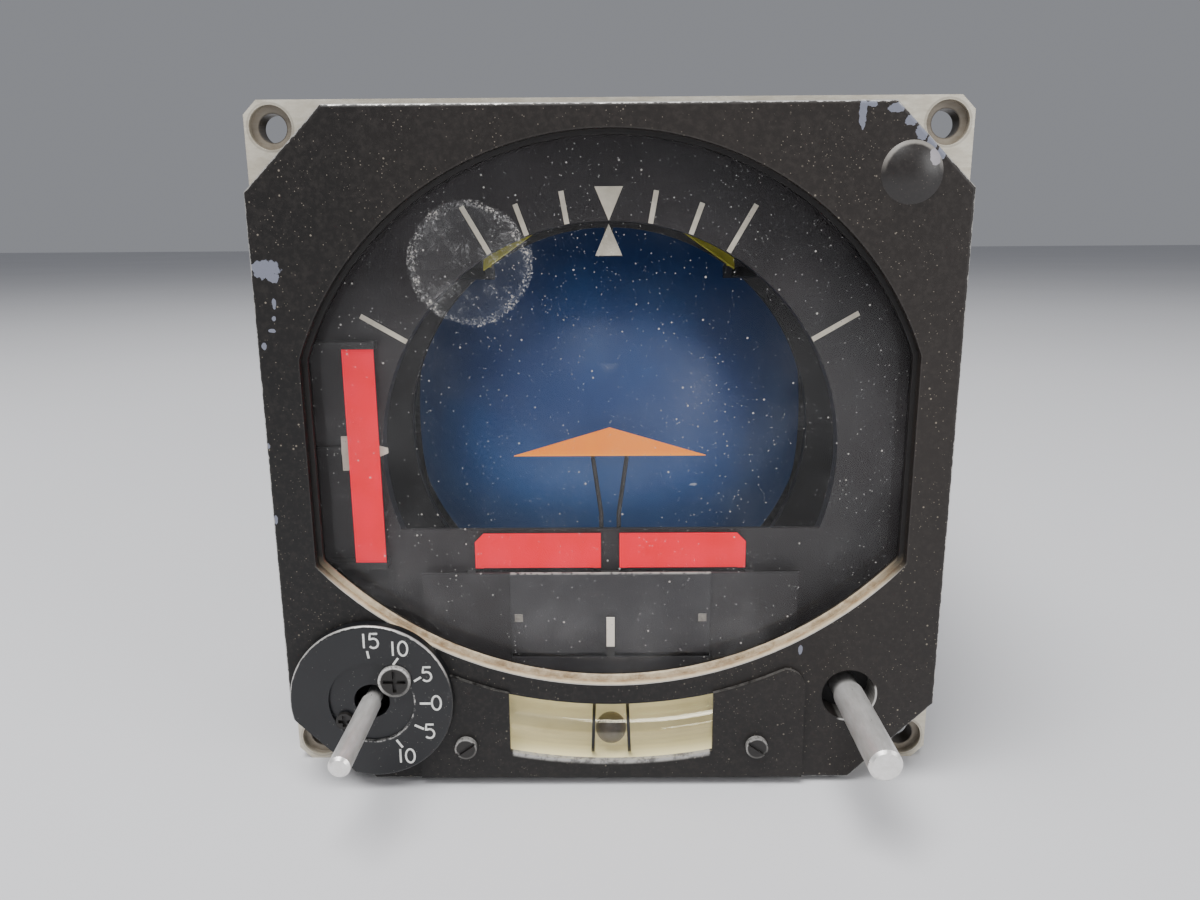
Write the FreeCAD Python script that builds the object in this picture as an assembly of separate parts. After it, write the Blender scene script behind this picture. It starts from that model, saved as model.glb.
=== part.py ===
import FreeCAD, Part
import math
import os
from FreeCAD import Vector

# Flight attitude director indicator, four inch case.  Millimetres.
# +X is the viewer's right, +Z is up, and the dial looks toward -Y.
# The origin is the centre of the bolt pattern, on the rear face of the mounting flange.

# ---- driving sizes: flange, bezel and window ----
flange_side = 105.7
flange_thickness = 4.0
flange_corner = 2.0
hole_spacing = 98.1
hole_diameter = 4.1
counterbore_diameter = 6.3
counterbore_depth = 1.2
flange_opening_radius = 47.6

bezel_width = 102.2
bezel_top = 51.3
bezel_bottom = 52.0
bezel_thickness = 7.5
bezel_top_corner = 11.6
bezel_bottom_corner = 12.9
bezel_edge_round = 0.6

window_top_radius = 47.9
window_half_width = 45.1
window_low_radius = 61.0
window_low_centre = 25.5
window_corner_round = 1.4
window_lip = 2.2
glass_thickness = 2.4
glass_seat = 1.5
bead_width = 0.7
bead_depth = 0.7
slip = 0.15

# ---- dial mask and what stands in front of it ----
mask_thickness = 0.8
mask_side = 98.6
mask_corner = 11.0
aperture_radius = 35.6
aperture_chord = 12.2
collar_wall = 0.7
collar_length = 1.85
panel_top = 18.9
panel_half_width = 30.0
panel_thickness = 0.4
panel_rear_gap = 1.7
panel_post_radius = 0.8
slit_half_width = 16.1
slit_height = 0.8
slit_level = 33.05

glideslope_flag_width = 4.8
glideslope_flag_height = 34.6
glideslope_flag_right = 35.7
glideslope_flag_travel = 9.4
flag_thickness = 0.3
side_flag_gap = 1.6
low_flag_inner = 1.5
low_flag_outer = 21.6
low_flag_top = 12.7
low_flag_height = 5.7
low_flag_tail = 5.8
low_flag_tail_width = 1.2
low_flag_chamfer = 1.4
low_flag_travel = 7.3
low_flag_gap = 0.65
guide_wall = 1.2
groove_gap = 0.1

scale_rod_radius = 0.35
scale_rod_gap = 0.75
glideslope_rod_x = 47.3
glideslope_travel = 13.0
pointer_thickness = 0.35
pointer_root_x = 41.8
pointer_neck_x = 41.0
pointer_tip_x = 34.6
pointer_root_top = 3.3
pointer_root_low = -2.15
pointer_tip_top = 1.4
pointer_tip_low = 0.6
pointer_stem_half = 0.6
carriage_half = 0.8
carriage_half_height = 1.8
localizer_rod_z = 32.45
localizer_travel = 14.5
slider_top = 26.3
localizer_rod_half = 18.6
slide_clearance = 0.04

# ---- fixed aeroplane symbol ----
delta_half_width = 15.1
delta_base = -0.3
delta_apex = 4.2
delta_thickness = 0.5
symbol_rod_radius = 0.35
symbol_rod_top_x = 2.9
symbol_rod_low_x = 1.4
symbol_rod_low_z = -10.0
symbol_clamp_top = 16.0
symbol_clamp_low = 22.0
symbol_gap = 0.05

# ---- roll pointer ring and its drive ----
drive_module = 0.75
large_teeth = 120
small_teeth = 16
motor_teeth = 12
ring_thickness = 1.6
ring_front_gap = 0.35
pointer_base = 30.35
pointer_apex = 35.2
pointer_width = 4.2
pointer_foot = 38.6
tooth_backlash = 0.12
pressure_angle = 25.0
tooth_addendum = 0.8
tooth_dedendum = 1.05
running_clearance = 0.05
drive_shaft_radius = 1.5
drive_pivot_radius = 1.0

# ---- sphere and gimbal ----
ball_radius = 39.0
ball_wall = 1.5
ball_depth = 40.0
ball_flat = 35.0
ball_rest_angle = 70.0
gimbal_ring_inner = 34.8
gimbal_radius = 44.5
gimbal_ring_front = 15.0
gimbal_ring_thickness = 2.0
gimbal_arm_inner = 41.0
gimbal_arm_half_height = 5.0
gimbal_disc_gap = 1.2
gimbal_disc_thickness = 2.5
axle_radius = 2.5
pitch_module = 0.5
pitch_teeth = 60
pitch_pinion_teeth = 12
pitch_gear_x = 25.0
pitch_gear_width = 3.0
pitch_motor_radius = 7.0
pitch_motor_length = 28.0
pitch_motor_gap = 2.0
pitch_clamp_length = 14.0
pitch_clamp_half = 4.0
pitch_pinion_reach = 9.5
pitch_shaft_radius = 1.0
hub_boss_wall = 3.0
hub_plate_thickness = 1.5
gimbal_hub_length = 5.0

# ---- chassis ----
bulkhead_gap = 0.2
front_bulkhead_y = 92.0
front_bulkhead_thickness = 4.0
rear_bulkhead_thickness = 3.0
gear_room_share = 5 / 9
rail_width = 5.0
rail_height = 3.2
rail_x = 22.0
board_room = 15.0
board_half_width = 38.0
board_thickness = 1.6
board_part_side = 9.0
board_part_height = 3.4
board_can_radius = 4.5
board_can_height = 7.0
roll_shaft_radius = 3.0
shaft_end_gap = 2.0
bearing_radius = 8.0
bearing_clearance = 0.03
roll_gear_y = 99.0
roll_gear_width = 2.5
roll_gear_hub_proud = 1.5
roll_gear_hub_inset = 1.0
roll_motor_radius = 8.0
roll_motor_gap = 2.5
roll_pinion_reach = 12.0
synchro_inner = 12.0
synchro_outer = 16.0
synchro_gap = 0.5
synchro_front_gap = 6.5
synchro_rotor_share = 2 / 3
synchro_rotor_gap = 1.0
ring_brush_gap = 0.3
slip_ring_end_gap = 2.0
slip_ring_pitch = 2.0
slip_ring_groove = 0.8
brush_half_width = 6.0
brush_inner = 12.0
brush_outer = 18.0

# ---- command bars ----
bar_pivot_y = 88.0
bar_park_angle = 27.0
bar_front_y = -1.7
bar_thickness = 0.5
bar_inner_x = 3.5
bar_outer_x = 19.6
bar_inner_z = 1.6
bar_outer_z = -12.4
bar_height = 2.4
arm_x = 46.4
arm_thickness = 1.0
arm_half_height = 1.3
cross_depth = 4.6
cross_thickness = 0.8
command_motor_radius = 3.2
command_motor_inner = 31.0
command_motor_outer = 45.2
command_motor_foot = 2.5
command_shaft_radius = 0.8
command_hub_radius = 2.4

# ---- case ----
case_side = 99.0
case_corner = 11.0
case_wall = 1.0
case_length = 165.0
rear_cover_thickness = 3.0
connector_radius = 14.0
connector_length = 14.0
connector_wall = 1.5
pin_radius = 0.8
pin_length = 6.0
rear_screw_radius = 2.6
rear_screw_head = 1.6

# ---- inclinometer ----
tube_arc_radius = 79.0
tube_level = 45.2
tube_radius = 3.6
tube_wall = 0.7
tube_half_length = 19.5
tube_cap_length = 1.0
tube_gap = 0.3
slip_ball_radius = 2.5
index_x = 2.85
index_wire = 0.25
slot_above_tube = 6.3
slot_half_length = 21.0
backing_lap = 1.6
cover_thickness = 0.8
cover_half_width = 30.5
cover_inner_x = 16.1
cover_top_radius = 64.3
cover_low = 51.4
cover_corner = 3.2
cover_strip_drop = 3.15
cover_screw_x = 23.1
cover_screw_z = 45.8
cover_screw_radius = 1.75
cover_screw_proud = 0.9
cover_screw_reach = 4.0
screw_slot_depth = 0.35
screw_slot_half = 0.3

# ---- knob shafts, trim dial and cap ----
knob_x = 37.5
knob_z = 37.4
shaft_reach = 20.2
right_shaft_radius = 2.38
left_shaft_radius = 1.5875
knob_seat_gap = 0.2
shaft_relief = 0.3
shaft_chamfer = 0.4
bezel_knob_hole = 4.2
bush_length = 3.0
pot_radius = 6.5
pot_length = 10.0
pot_neck_radius = 3.6
shaft_in_pot = 6.0
dial_radius = 12.8
dial_height = 2.0
dial_recess_radius = 6.7
dial_recess_depth = 0.5
dial_bore_radius = 2.8
dial_screw_x = 33.6
dial_screw_z = 33.7
dial_screw_radius = 2.55
dial_stud_x = 41.9
dial_stud_z = 40.6
dial_stud_radius = 1.35
cap_edge = 9.15
cap_z = 41.7
cap_radius = 4.3
cap_height = 1.1

# ---- depths that follow from them (Y, growing away from the viewer) ----
flange_front = -flange_thickness
bezel_front = flange_front - bezel_thickness
glass_front = bezel_front + window_lip
glass_rear = glass_front + glass_thickness
rail_length = case_length - board_room
roll_shaft_end = rail_length - shaft_end_gap
gear_room_front = front_bulkhead_y + front_bulkhead_thickness
rear_bulkhead_y = gear_room_front + gear_room_share * (rail_length - gear_room_front)
synchro_front = roll_gear_y + roll_gear_width + synchro_front_gap
synchro_rotor_length = synchro_rotor_share * (rear_bulkhead_y - synchro_front)
slip_ring_front = rear_bulkhead_y + rear_bulkhead_thickness + slip_ring_end_gap
slip_ring_rear = roll_shaft_end - slip_ring_end_gap
slip_ring_grooves = int((slip_ring_rear - slip_ring_front) / slip_ring_pitch) - 1
cap_x = bezel_width / 2 - cap_edge
tube_arc_centre = tube_arc_radius - tube_level
tube_half_angle = math.degrees(math.asin(tube_half_length / tube_arc_radius))
tube_cap_angle = math.degrees(math.asin(tube_cap_length / tube_arc_radius))
slot_half_angle = math.degrees(math.asin(slot_half_length / tube_arc_radius))
slot_top_radius = tube_arc_radius - slot_above_tube
cover_strip_radius = tube_arc_radius + cover_strip_drop
mask_front = flange_front
mask_rear = mask_front + mask_thickness
panel_rear = mask_front - panel_rear_gap
panel_front = panel_rear - panel_thickness
ring_front = mask_rear + ring_front_gap
ring_rear = ring_front + ring_thickness
large_pitch_radius = drive_module * large_teeth / 2
small_pitch_radius = drive_module * small_teeth / 2
motor_pitch_radius = drive_module * motor_teeth / 2
drive_offset = (large_pitch_radius + small_pitch_radius) / math.sqrt(2)
roll_motor_offset = (large_pitch_radius + motor_pitch_radius) / math.sqrt(2)
collar_radius = aperture_radius + collar_wall
gimbal_disc_front = ball_depth + ball_radius + gimbal_disc_gap
gimbal_disc_rear = gimbal_disc_front + gimbal_disc_thickness
tube_y = flange_front - tube_radius
rail_z = case_side / 2 - case_wall - rail_height / 2 - 0.4
symbol_plane = mask_rear + symbol_gap
pitch_centre = pitch_module * (pitch_teeth + pitch_pinion_teeth) / 2
backing_top = slot_top_radius - tube_arc_centre - backing_lap
backing_half_width = (tube_arc_radius + tube_radius) * math.sin(math.radians(slot_half_angle)) + backing_lap


# ---- building blocks ----
def block(x0, x1, y0, y1, z0, z1):
    return Part.makeBox(x1 - x0, y1 - y0, z1 - z0, Vector(x0, y0, z0))


def rod_y(x, z, radius, y0, y1):
    return Part.makeCylinder(radius, y1 - y0, Vector(x, y0, z), Vector(0, 1, 0))


def rod_x(y, z, radius, x0, x1):
    return Part.makeCylinder(radius, x1 - x0, Vector(x0, y, z), Vector(1, 0, 0))


def rod_z(x, y, radius, z0, z1):
    return Part.makeCylinder(radius, z1 - z0, Vector(x, y, z0), Vector(0, 0, 1))


def tube_along_y(x, z, inner, outer, y0, y1):
    return rod_y(x, z, outer, y0, y1).cut(rod_y(x, z, inner, y0, y1))


def face_of(edges):
    return Part.Face(Part.Wire(edges))


def raised(face, y0, y1):
    """A flat outline in the XZ plane, pulled out from y0 to y1."""
    lifted = face.copy()
    lifted.translate(Vector(0, y0, 0))
    return lifted.extrude(Vector(0, y1 - y0, 0))


def outline(points):
    return Part.Face(Part.makePolygon([Vector(x, 0, z) for x, z in points + points[:1]]))


def plate(points, y0, y1):
    return raised(outline(points), y0, y1)


def join(shapes):
    whole = shapes[0].fuse(shapes[1:]) if len(shapes) > 1 else shapes[0]
    return whole.removeSplitter()


def group(shapes):
    return Part.makeCompound(shapes)


def mirrored(shape):
    return shape.mirror(Vector(0, 0, 0), Vector(1, 0, 0))


def both_sides(shape):
    return [shape, mirrored(shape)]


def tilted(shape, y, z, degrees):
    """Turned about an X axis through (y, z)."""
    turned = shape.copy()
    turned.rotate(Vector(0, y, z), Vector(1, 0, 0), degrees)
    return turned


def square_outline(half_width, top, bottom, top_corner, bottom_corner):
    return outline([
        (half_width - top_corner, top), (half_width, top - top_corner),
        (half_width, bottom_corner - bottom), (half_width - bottom_corner, -bottom),
        (bottom_corner - half_width, -bottom), (-half_width, bottom_corner - bottom),
        (-half_width, top - top_corner), (top_corner - half_width, top)])


def window_outline(grown):
    """The window shape, every side moved outward by the same amount."""
    half = window_half_width + grown
    top = window_top_radius + grown
    low = window_low_radius + grown
    shoulder = math.sqrt(top ** 2 - half ** 2)
    hip = window_low_centre - math.sqrt(low ** 2 - half ** 2)
    return face_of([
        Part.Arc(Vector(half, 0, shoulder), Vector(0, 0, top), Vector(-half, 0, shoulder)).toShape(),
        Part.LineSegment(Vector(-half, 0, shoulder), Vector(-half, 0, hip)).toShape(),
        Part.Arc(Vector(-half, 0, hip), Vector(0, 0, window_low_centre - low), Vector(half, 0, hip)).toShape(),
        Part.LineSegment(Vector(half, 0, hip), Vector(half, 0, shoulder)).toShape()])


def rounded_window(grown):
    return window_outline(grown - window_corner_round).makeOffset2D(window_corner_round)


def sector(inner, outer, half_angle, centre_z):
    """A curved slot outline below its centre, symmetric about x = 0."""
    def point(radius, angle):
        turn = math.radians(angle)
        return Vector(radius * math.sin(turn), 0, centre_z - radius * math.cos(turn))
    return face_of([
        Part.Arc(point(inner, -half_angle), point(inner, 0), point(inner, half_angle)).toShape(),
        Part.LineSegment(point(inner, half_angle), point(outer, half_angle)).toShape(),
        Part.Arc(point(outer, half_angle), point(outer, 0), point(outer, -half_angle)).toShape(),
        Part.LineSegment(point(outer, -half_angle), point(inner, -half_angle)).toShape()])


def gear_outline(module, teeth, centre_angle, gap_there):
    """Involute teeth as (radius, angle); a tooth or a gap is centred on centre_angle."""
    pitch = module * teeth / 2
    base = pitch * math.cos(math.radians(pressure_angle))
    root = pitch - module * tooth_dedendum
    tip = pitch + module * tooth_addendum
    half_tooth = (math.pi * module / 2 - tooth_backlash) / (2 * pitch)

    def involute(radius):
        if radius <= base:
            return 0.0
        slope = math.acos(base / radius)
        return math.tan(slope) - slope

    def half_width(radius):
        return half_tooth + involute(pitch) - involute(radius)

    flank = [root, max(base, (root + pitch) / 2), (pitch + tip) / 2, tip]
    step = 2 * math.pi / teeth
    start = math.radians(centre_angle) + (step / 2 if gap_there else 0.0)
    points = []
    for tooth in range(teeth):
        middle = start + tooth * step
        points += [(radius, middle - half_width(radius)) for radius in flank]
        points += [(radius, middle + half_width(radius)) for radius in reversed(flank)]
    return points


def gear_y(module, teeth, x, z, centre_angle, gap_there, y0, y1):
    """A spur gear on a Y axis; angles run from +X toward +Z."""
    shape = [(x + r * math.cos(a), z + r * math.sin(a))
             for r, a in gear_outline(module, teeth, centre_angle, gap_there)]
    return plate(shape, y0, y1)


def gear_x(module, teeth, y, z, centre_angle, gap_there, x0, x1):
    """A spur gear on an X axis; angles run from +Y toward +Z."""
    points = [Vector(x0, y + r * math.cos(a), z + r * math.sin(a))
              for r, a in gear_outline(module, teeth, centre_angle, gap_there)]
    return Part.Face(Part.makePolygon(points + points[:1])).extrude(Vector(x1 - x0, 0, 0))


def slotted_screw(x, z, head_radius, head_front, seat, tip, slot_angle):
    head = rod_y(x, z, head_radius, head_front, seat)
    slot = block(-head_radius, head_radius, head_front, head_front + screw_slot_depth,
                 -screw_slot_half, screw_slot_half)
    slot.rotate(Vector(0, 0, 0), Vector(0, 1, 0), slot_angle)
    slot.translate(Vector(x, 0, z))
    return join([head.cut(slot), rod_y(x, z, head_radius * 0.5, seat, tip)])


corners = [(sx * hole_spacing / 2, sz * hole_spacing / 2) for sx in (-1, 1) for sz in (-1, 1)]
drive_x, drive_z = -drive_offset, drive_offset
large_at_drive = 135.0
drive_at_large = large_at_drive - 180.0
motor_at_large = 45.0 + 180.0


# ---- flange, bezel and glass ----
def mounting_flange():
    half = flange_side / 2
    body = raised(square_outline(half, half, half, flange_corner, flange_corner), flange_front, 0)
    body = body.cut(rod_y(0, 0, flange_opening_radius, flange_front, 0))
    pocket_half = mask_side / 2 + slip
    pocket = square_outline(pocket_half, pocket_half, pocket_half, mask_corner, mask_corner)
    body = body.cut(raised(pocket, flange_front, mask_rear))
    body = body.cut(rod_y(drive_x, drive_z, small_pitch_radius + drive_module + 0.4, flange_front, 0))
    for side in (-1, 1):
        body = body.cut(rod_y(side * knob_x, -knob_z, bezel_knob_hole + slip, flange_front, 0))
    for x, z in corners:
        body = body.cut(rod_y(x, z, hole_diameter / 2, flange_front, 0))
        body = body.cut(rod_y(x, z, counterbore_diameter / 2, flange_front, flange_front + counterbore_depth))
    return body


def bezel():
    shape = square_outline(bezel_width / 2, bezel_top, bezel_bottom, bezel_top_corner, bezel_bottom_corner)
    body = raised(shape, bezel_front, flange_front)
    rim = [edge for edge in body.Edges if max(v.Y for v in edge.Vertexes) < bezel_front + 0.01]
    body = body.makeFillet(bezel_edge_round, rim)
    body = body.cut(raised(rounded_window(0), bezel_front, glass_front))
    body = body.cut(raised(rounded_window(glass_seat + slip), glass_front, flange_front))
    flag_room = glideslope_flag_right + glideslope_flag_width + glideslope_flag_travel + 0.3
    half = glideslope_flag_height / 2 + guide_wall
    body = body.cut(block(-flag_room, 0, glass_rear, flange_front, -half, half))
    slot = sector(slot_top_radius, tube_arc_radius + tube_radius + tube_gap, slot_half_angle, tube_arc_centre)
    body = body.cut(raised(slot, bezel_front, flange_front))
    for side in (-1, 1):
        body = body.cut(rod_y(side * knob_x, -knob_z, bezel_knob_hole, bezel_front, flange_front))
        screw = rod_y(side * cover_screw_x, -cover_screw_z, cover_screw_radius * 0.5,
                      bezel_front, bezel_front + cover_screw_reach)
        body = body.cut(screw)
    for x, z, radius in ((-dial_screw_x, -dial_screw_z, dial_screw_radius),
                         (-dial_stud_x, -dial_stud_z, dial_stud_radius)):
        body = body.cut(rod_y(x, z, radius * 0.5, bezel_front, bezel_front + 3))
    return body


def window_glass():
    return raised(rounded_window(glass_seat), glass_front, glass_rear)


def glass_gasket():
    ring = rounded_window(0).cut(rounded_window(-bead_width))
    return raised(ring, glass_front - bead_depth, glass_front)


# ---- dial mask, panel and guides ----
def aperture_outline(radius):
    half = math.sqrt(radius ** 2 - aperture_chord ** 2)
    return face_of([
        Part.Arc(Vector(half, 0, -aperture_chord), Vector(0, 0, radius), Vector(-half, 0, -aperture_chord)).toShape(),
        Part.LineSegment(Vector(-half, 0, -aperture_chord), Vector(half, 0, -aperture_chord)).toShape()])


def dial_mask():
    half = mask_side / 2
    body = raised(square_outline(half, half, half, mask_corner, mask_corner), mask_front, mask_rear)
    body = body.fuse(tube_along_y(0, 0, aperture_radius, collar_radius, mask_rear, mask_rear + collar_length))
    body = body.cut(raised(aperture_outline(aperture_radius), mask_front, mask_rear))
    notch = backing_half_width + slip
    body = body.cut(block(-notch, notch, mask_front, mask_rear, -half, -backing_top + slip))
    body = body.cut(rod_y(drive_x, drive_z, drive_pivot_radius + running_clearance, mask_front, mask_rear))
    for side in (-1, 1):
        body = body.cut(rod_y(side * knob_x, -knob_z, bezel_knob_hole, mask_front, mask_rear))
    return body


def lower_panel():
    shape = rounded_window(glass_seat - slip)
    keep = outline([(-panel_half_width, -panel_top), (panel_half_width, -panel_top),
                    (panel_half_width, -bezel_bottom), (-panel_half_width, -bezel_bottom)])
    body = raised(shape.common(keep), panel_front, panel_rear)
    body = body.cut(block(-slit_half_width, slit_half_width, panel_front, panel_rear,
                          -slit_level - slit_height / 2, -slit_level + slit_height / 2))
    post_x = low_flag_outer + 2 * guide_wall + panel_post_radius + 0.6
    posts = [rod_y(side * post_x, z, panel_post_radius, panel_rear, mask_front)
             for side in (-1, 1) for z in (-panel_top - 1.4, -panel_top - 9.0)]
    return join([body] + posts)


def flag_guides():
    front = mask_front - low_flag_gap - flag_thickness - groove_gap - 0.2
    top = -panel_top - 0.3
    low = top - 7.0
    groove_front = mask_front - low_flag_gap - flag_thickness - groove_gap
    groove_rear = mask_front - low_flag_gap + groove_gap
    lip = 0.3
    pieces = []
    for side in (-1, 1):
        outer = block(low_flag_outer - lip, low_flag_outer + guide_wall + 0.2, front, mask_front, low, top)
        outer = outer.cut(block(low_flag_outer - lip, low_flag_outer + groove_gap, groove_front, groove_rear, low, top))
        pieces.append(outer if side > 0 else mirrored(outer))
    middle = block(-low_flag_inner - lip, low_flag_inner + lip, front, mask_front, low, top)
    for side in (-1, 1):
        groove = block(low_flag_inner - groove_gap, low_flag_inner + lip, groove_front, groove_rear, low, top)
        middle = middle.cut(groove if side > 0 else mirrored(groove))
    pieces.append(middle)
    left = -glideslope_flag_right - glideslope_flag_width - glideslope_flag_travel - 0.1
    flag_rear = mask_front - side_flag_gap
    for side in (-1, 1):
        edge = glideslope_flag_height / 2
        rail = block(left, -glideslope_flag_right + 0.2, flag_rear - flag_thickness - 0.3, mask_front,
                     edge - lip, edge + 0.8)
        rail = rail.cut(block(left, -glideslope_flag_right + 0.2, flag_rear - flag_thickness - groove_gap,
                              flag_rear + groove_gap, edge - lip, edge + groove_gap))
        rail = rail.cut(rod_z(-glideslope_rod_x, mask_front - scale_rod_gap, scale_rod_radius, edge - lip, edge + 0.4))
        if side < 0:
            rail = rail.mirror(Vector(0, 0, 0), Vector(0, 0, 1))
        pieces.append(rail)
    return group(pieces)


def slide_rods():
    half = glideslope_flag_height / 2 + 0.4
    upright = rod_z(-glideslope_rod_x, mask_front - scale_rod_gap, scale_rod_radius, -half, half)
    level = rod_x(mask_front - scale_rod_gap, -localizer_rod_z, scale_rod_radius,
                  -localizer_rod_half, localizer_rod_half)
    feet = [block(side * localizer_rod_half - 0.5, side * localizer_rod_half + 0.5,
                  mask_front - scale_rod_gap - 0.5, mask_front,
                  -localizer_rod_z - 0.6, -localizer_rod_z + 0.6) for side in (-1, 1)]
    return group([upright, join([level] + feet)])


# ---- fixed aeroplane symbol ----
def delta_symbol():
    return plate([(-delta_half_width, delta_base), (delta_half_width, delta_base), (0, delta_apex)],
                 symbol_plane - delta_thickness, symbol_plane)


def symbol_support():
    centre_y = symbol_plane + symbol_rod_radius
    bottom = -symbol_clamp_low
    pieces = []
    for side in (-1, 1):
        top = Vector(side * symbol_rod_top_x, centre_y, delta_base + 1.2)
        knee = Vector(side * symbol_rod_low_x, centre_y, symbol_rod_low_z)
        foot = Vector(side * symbol_rod_low_x, centre_y, bottom)
        slope = knee - top
        pieces.append(Part.makeCylinder(symbol_rod_radius, slope.Length, top, slope))
        pieces.append(Part.makeSphere(symbol_rod_radius, knee))
        pieces.append(Part.makeCylinder(symbol_rod_radius, (foot - knee).Length, knee, foot - knee))
    clamp = block(-3.0, 3.0, mask_rear, centre_y + symbol_rod_radius + 0.2, -symbol_clamp_low, -symbol_clamp_top)
    return join(pieces + [clamp])


# ---- roll pointer ring and its drive ----
def pointer_ring():
    bore = collar_radius + running_clearance
    ring = gear_y(drive_module, large_teeth, 0, 0, large_at_drive, False, ring_front, ring_rear)
    ring = ring.cut(rod_y(0, 0, bore, ring_front, ring_rear))
    half = pointer_width / 2
    triangle = plate([(-half, pointer_base), (half, pointer_base), (half * 0.3, pointer_apex - 1.4),
                      (half * 0.3, pointer_foot), (-half * 0.3, pointer_foot), (-half * 0.3, pointer_apex - 1.4)],
                     ring_rear, ring_rear + 0.3)
    return ring.fuse(triangle)


def pointer_guides():
    outer = flange_opening_radius - 0.2
    inner = large_pitch_radius + drive_module + 0.5
    clips = []
    for angle in (90, 210, 330):
        post = block(inner, outer, mask_rear, ring_rear + 0.6, -2.0, 2.0)
        finger = block(inner - 3.0, outer, ring_rear + 0.15, ring_rear + 0.6, -2.0, 2.0)
        clip = join([post, finger])
        clip = clip.common(rod_y(0, 0, outer, mask_rear, ring_rear + 0.6))
        clip.rotate(Vector(0, 0, 0), Vector(0, 1, 0), -angle)
        clips.append(clip)
    return group(clips)


def pointer_drive_shaft():
    shaft_end = roll_gear_y + roll_gear_width + 2.0
    pivot = rod_y(drive_x, drive_z, drive_pivot_radius, mask_front + 0.1, ring_front)
    shaft = rod_y(drive_x, drive_z, drive_shaft_radius, ring_front, shaft_end)
    front = gear_y(drive_module, small_teeth, drive_x, drive_z, drive_at_large, True, ring_front, ring_rear)
    rear = gear_y(drive_module, small_teeth, drive_x, drive_z, drive_at_large, True,
                  roll_gear_y, roll_gear_y + roll_gear_width)
    return join([pivot, shaft, front, rear])


def roll_pinion():
    shaft = rod_y(roll_motor_offset, roll_motor_offset, drive_shaft_radius, roll_gear_y - 0.5,
                  roll_gear_y + roll_pinion_reach)
    teeth = gear_y(drive_module, motor_teeth, roll_motor_offset, roll_motor_offset, motor_at_large, True,
                   roll_gear_y, roll_gear_y + roll_gear_width)
    return join([shaft, teeth])


def roll_motor():
    front = roll_gear_y + roll_gear_width + roll_motor_gap
    body = rod_y(roll_motor_offset, roll_motor_offset, roll_motor_radius, front, rear_bulkhead_y)
    return body.cut(rod_y(roll_motor_offset, roll_motor_offset, drive_shaft_radius + running_clearance,
                          front, roll_gear_y + roll_pinion_reach + 0.5))


# ---- roll gimbal ----
def roll_gimbal():
    ring_rear_y = gimbal_ring_front + gimbal_ring_thickness
    ring = tube_along_y(0, 0, gimbal_ring_inner, gimbal_radius, gimbal_ring_front, ring_rear_y)
    high = gimbal_arm_half_height
    arm = block(gimbal_arm_inner, gimbal_radius, gimbal_ring_front, gimbal_disc_rear, -high, high)
    arm = arm.common(rod_y(0, 0, gimbal_radius, gimbal_ring_front, gimbal_disc_rear))
    disc = rod_y(0, 0, gimbal_radius, gimbal_disc_front, gimbal_disc_rear)
    for quarter in range(4):
        angle = math.radians(45 + 90 * quarter)
        reach = gimbal_radius * 0.6
        disc = disc.cut(rod_y(reach * math.cos(angle), reach * math.sin(angle), gimbal_radius * 0.22,
                              gimbal_disc_front, gimbal_disc_rear))
    hub = rod_y(0, 0, bearing_radius, gimbal_disc_rear, gimbal_disc_rear + gimbal_hub_length)
    body = join([ring, disc, hub] + both_sides(arm))
    body = body.cut(rod_y(0, 0, roll_shaft_radius, gimbal_disc_front, gimbal_disc_rear + gimbal_hub_length))
    return body.cut(rod_x(ball_depth, 0, axle_radius, -gimbal_radius, gimbal_radius))


def roll_shaft():
    return rod_y(0, 0, roll_shaft_radius, gimbal_disc_front, roll_shaft_end)


def roll_gear():
    hub_front = roll_gear_y - roll_gear_hub_proud
    hub_rear = roll_gear_y + roll_gear_width + roll_gear_hub_proud
    body = gear_y(drive_module, large_teeth, 0, 0, large_at_drive, False, roll_gear_y, roll_gear_y + roll_gear_width)
    body = body.fuse(rod_y(0, 0, bearing_radius - roll_gear_hub_inset, hub_front, hub_rear))
    for sixth in range(6):
        angle = math.radians(60 * sixth)
        reach = large_pitch_radius * 0.55
        body = body.cut(rod_y(reach * math.cos(angle), reach * math.sin(angle), large_pitch_radius * 0.2,
                              roll_gear_y, roll_gear_y + roll_gear_width))
    return body.cut(rod_y(0, 0, roll_shaft_radius, hub_front, hub_rear))


def slip_rings():
    body = tube_along_y(0, 0, roll_shaft_radius, bearing_radius, slip_ring_front, slip_ring_rear)
    for ring in range(slip_ring_grooves):
        middle = slip_ring_front + slip_ring_pitch * (ring + 1)
        body = body.cut(tube_along_y(0, 0, bearing_radius - slip_ring_groove, bearing_radius,
                                     middle - slip_ring_groove / 2, middle + slip_ring_groove / 2))
    return body


def synchro_rotor():
    start = synchro_front + synchro_rotor_gap
    return tube_along_y(0, 0, roll_shaft_radius, synchro_inner - synchro_gap, start, start + synchro_rotor_length)


def synchro_stator():
    return tube_along_y(0, 0, synchro_inner, synchro_outer, synchro_front, rear_bulkhead_y)


# ---- sphere ----
def ball_shell(half_turn):
    outer = Part.makeSphere(ball_radius, Vector(0, ball_depth, 0))
    inner = Part.makeSphere(ball_radius - ball_wall, Vector(0, ball_depth, 0))
    reach = ball_radius + 1
    keep = block(-ball_flat, ball_flat, ball_depth - reach, ball_depth + reach, 0, reach)
    shell = outer.cut(inner).common(keep)
    return tilted(shell, ball_depth, 0, ball_rest_angle + half_turn)


def ball_hubs():
    rim = math.sqrt((ball_radius - ball_wall) ** 2 - ball_flat ** 2)
    end = gimbal_arm_inner - 0.4
    plate_side = rod_x(ball_depth, 0, rim, ball_flat - hub_plate_thickness, ball_flat)
    boss = rod_x(ball_depth, 0, axle_radius + hub_boss_wall, ball_flat - 2 * hub_plate_thickness, end)
    hub = join([plate_side, boss])
    hub = hub.cut(rod_x(ball_depth, 0, axle_radius + bearing_clearance, 0, end))
    return group(both_sides(hub))


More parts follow.
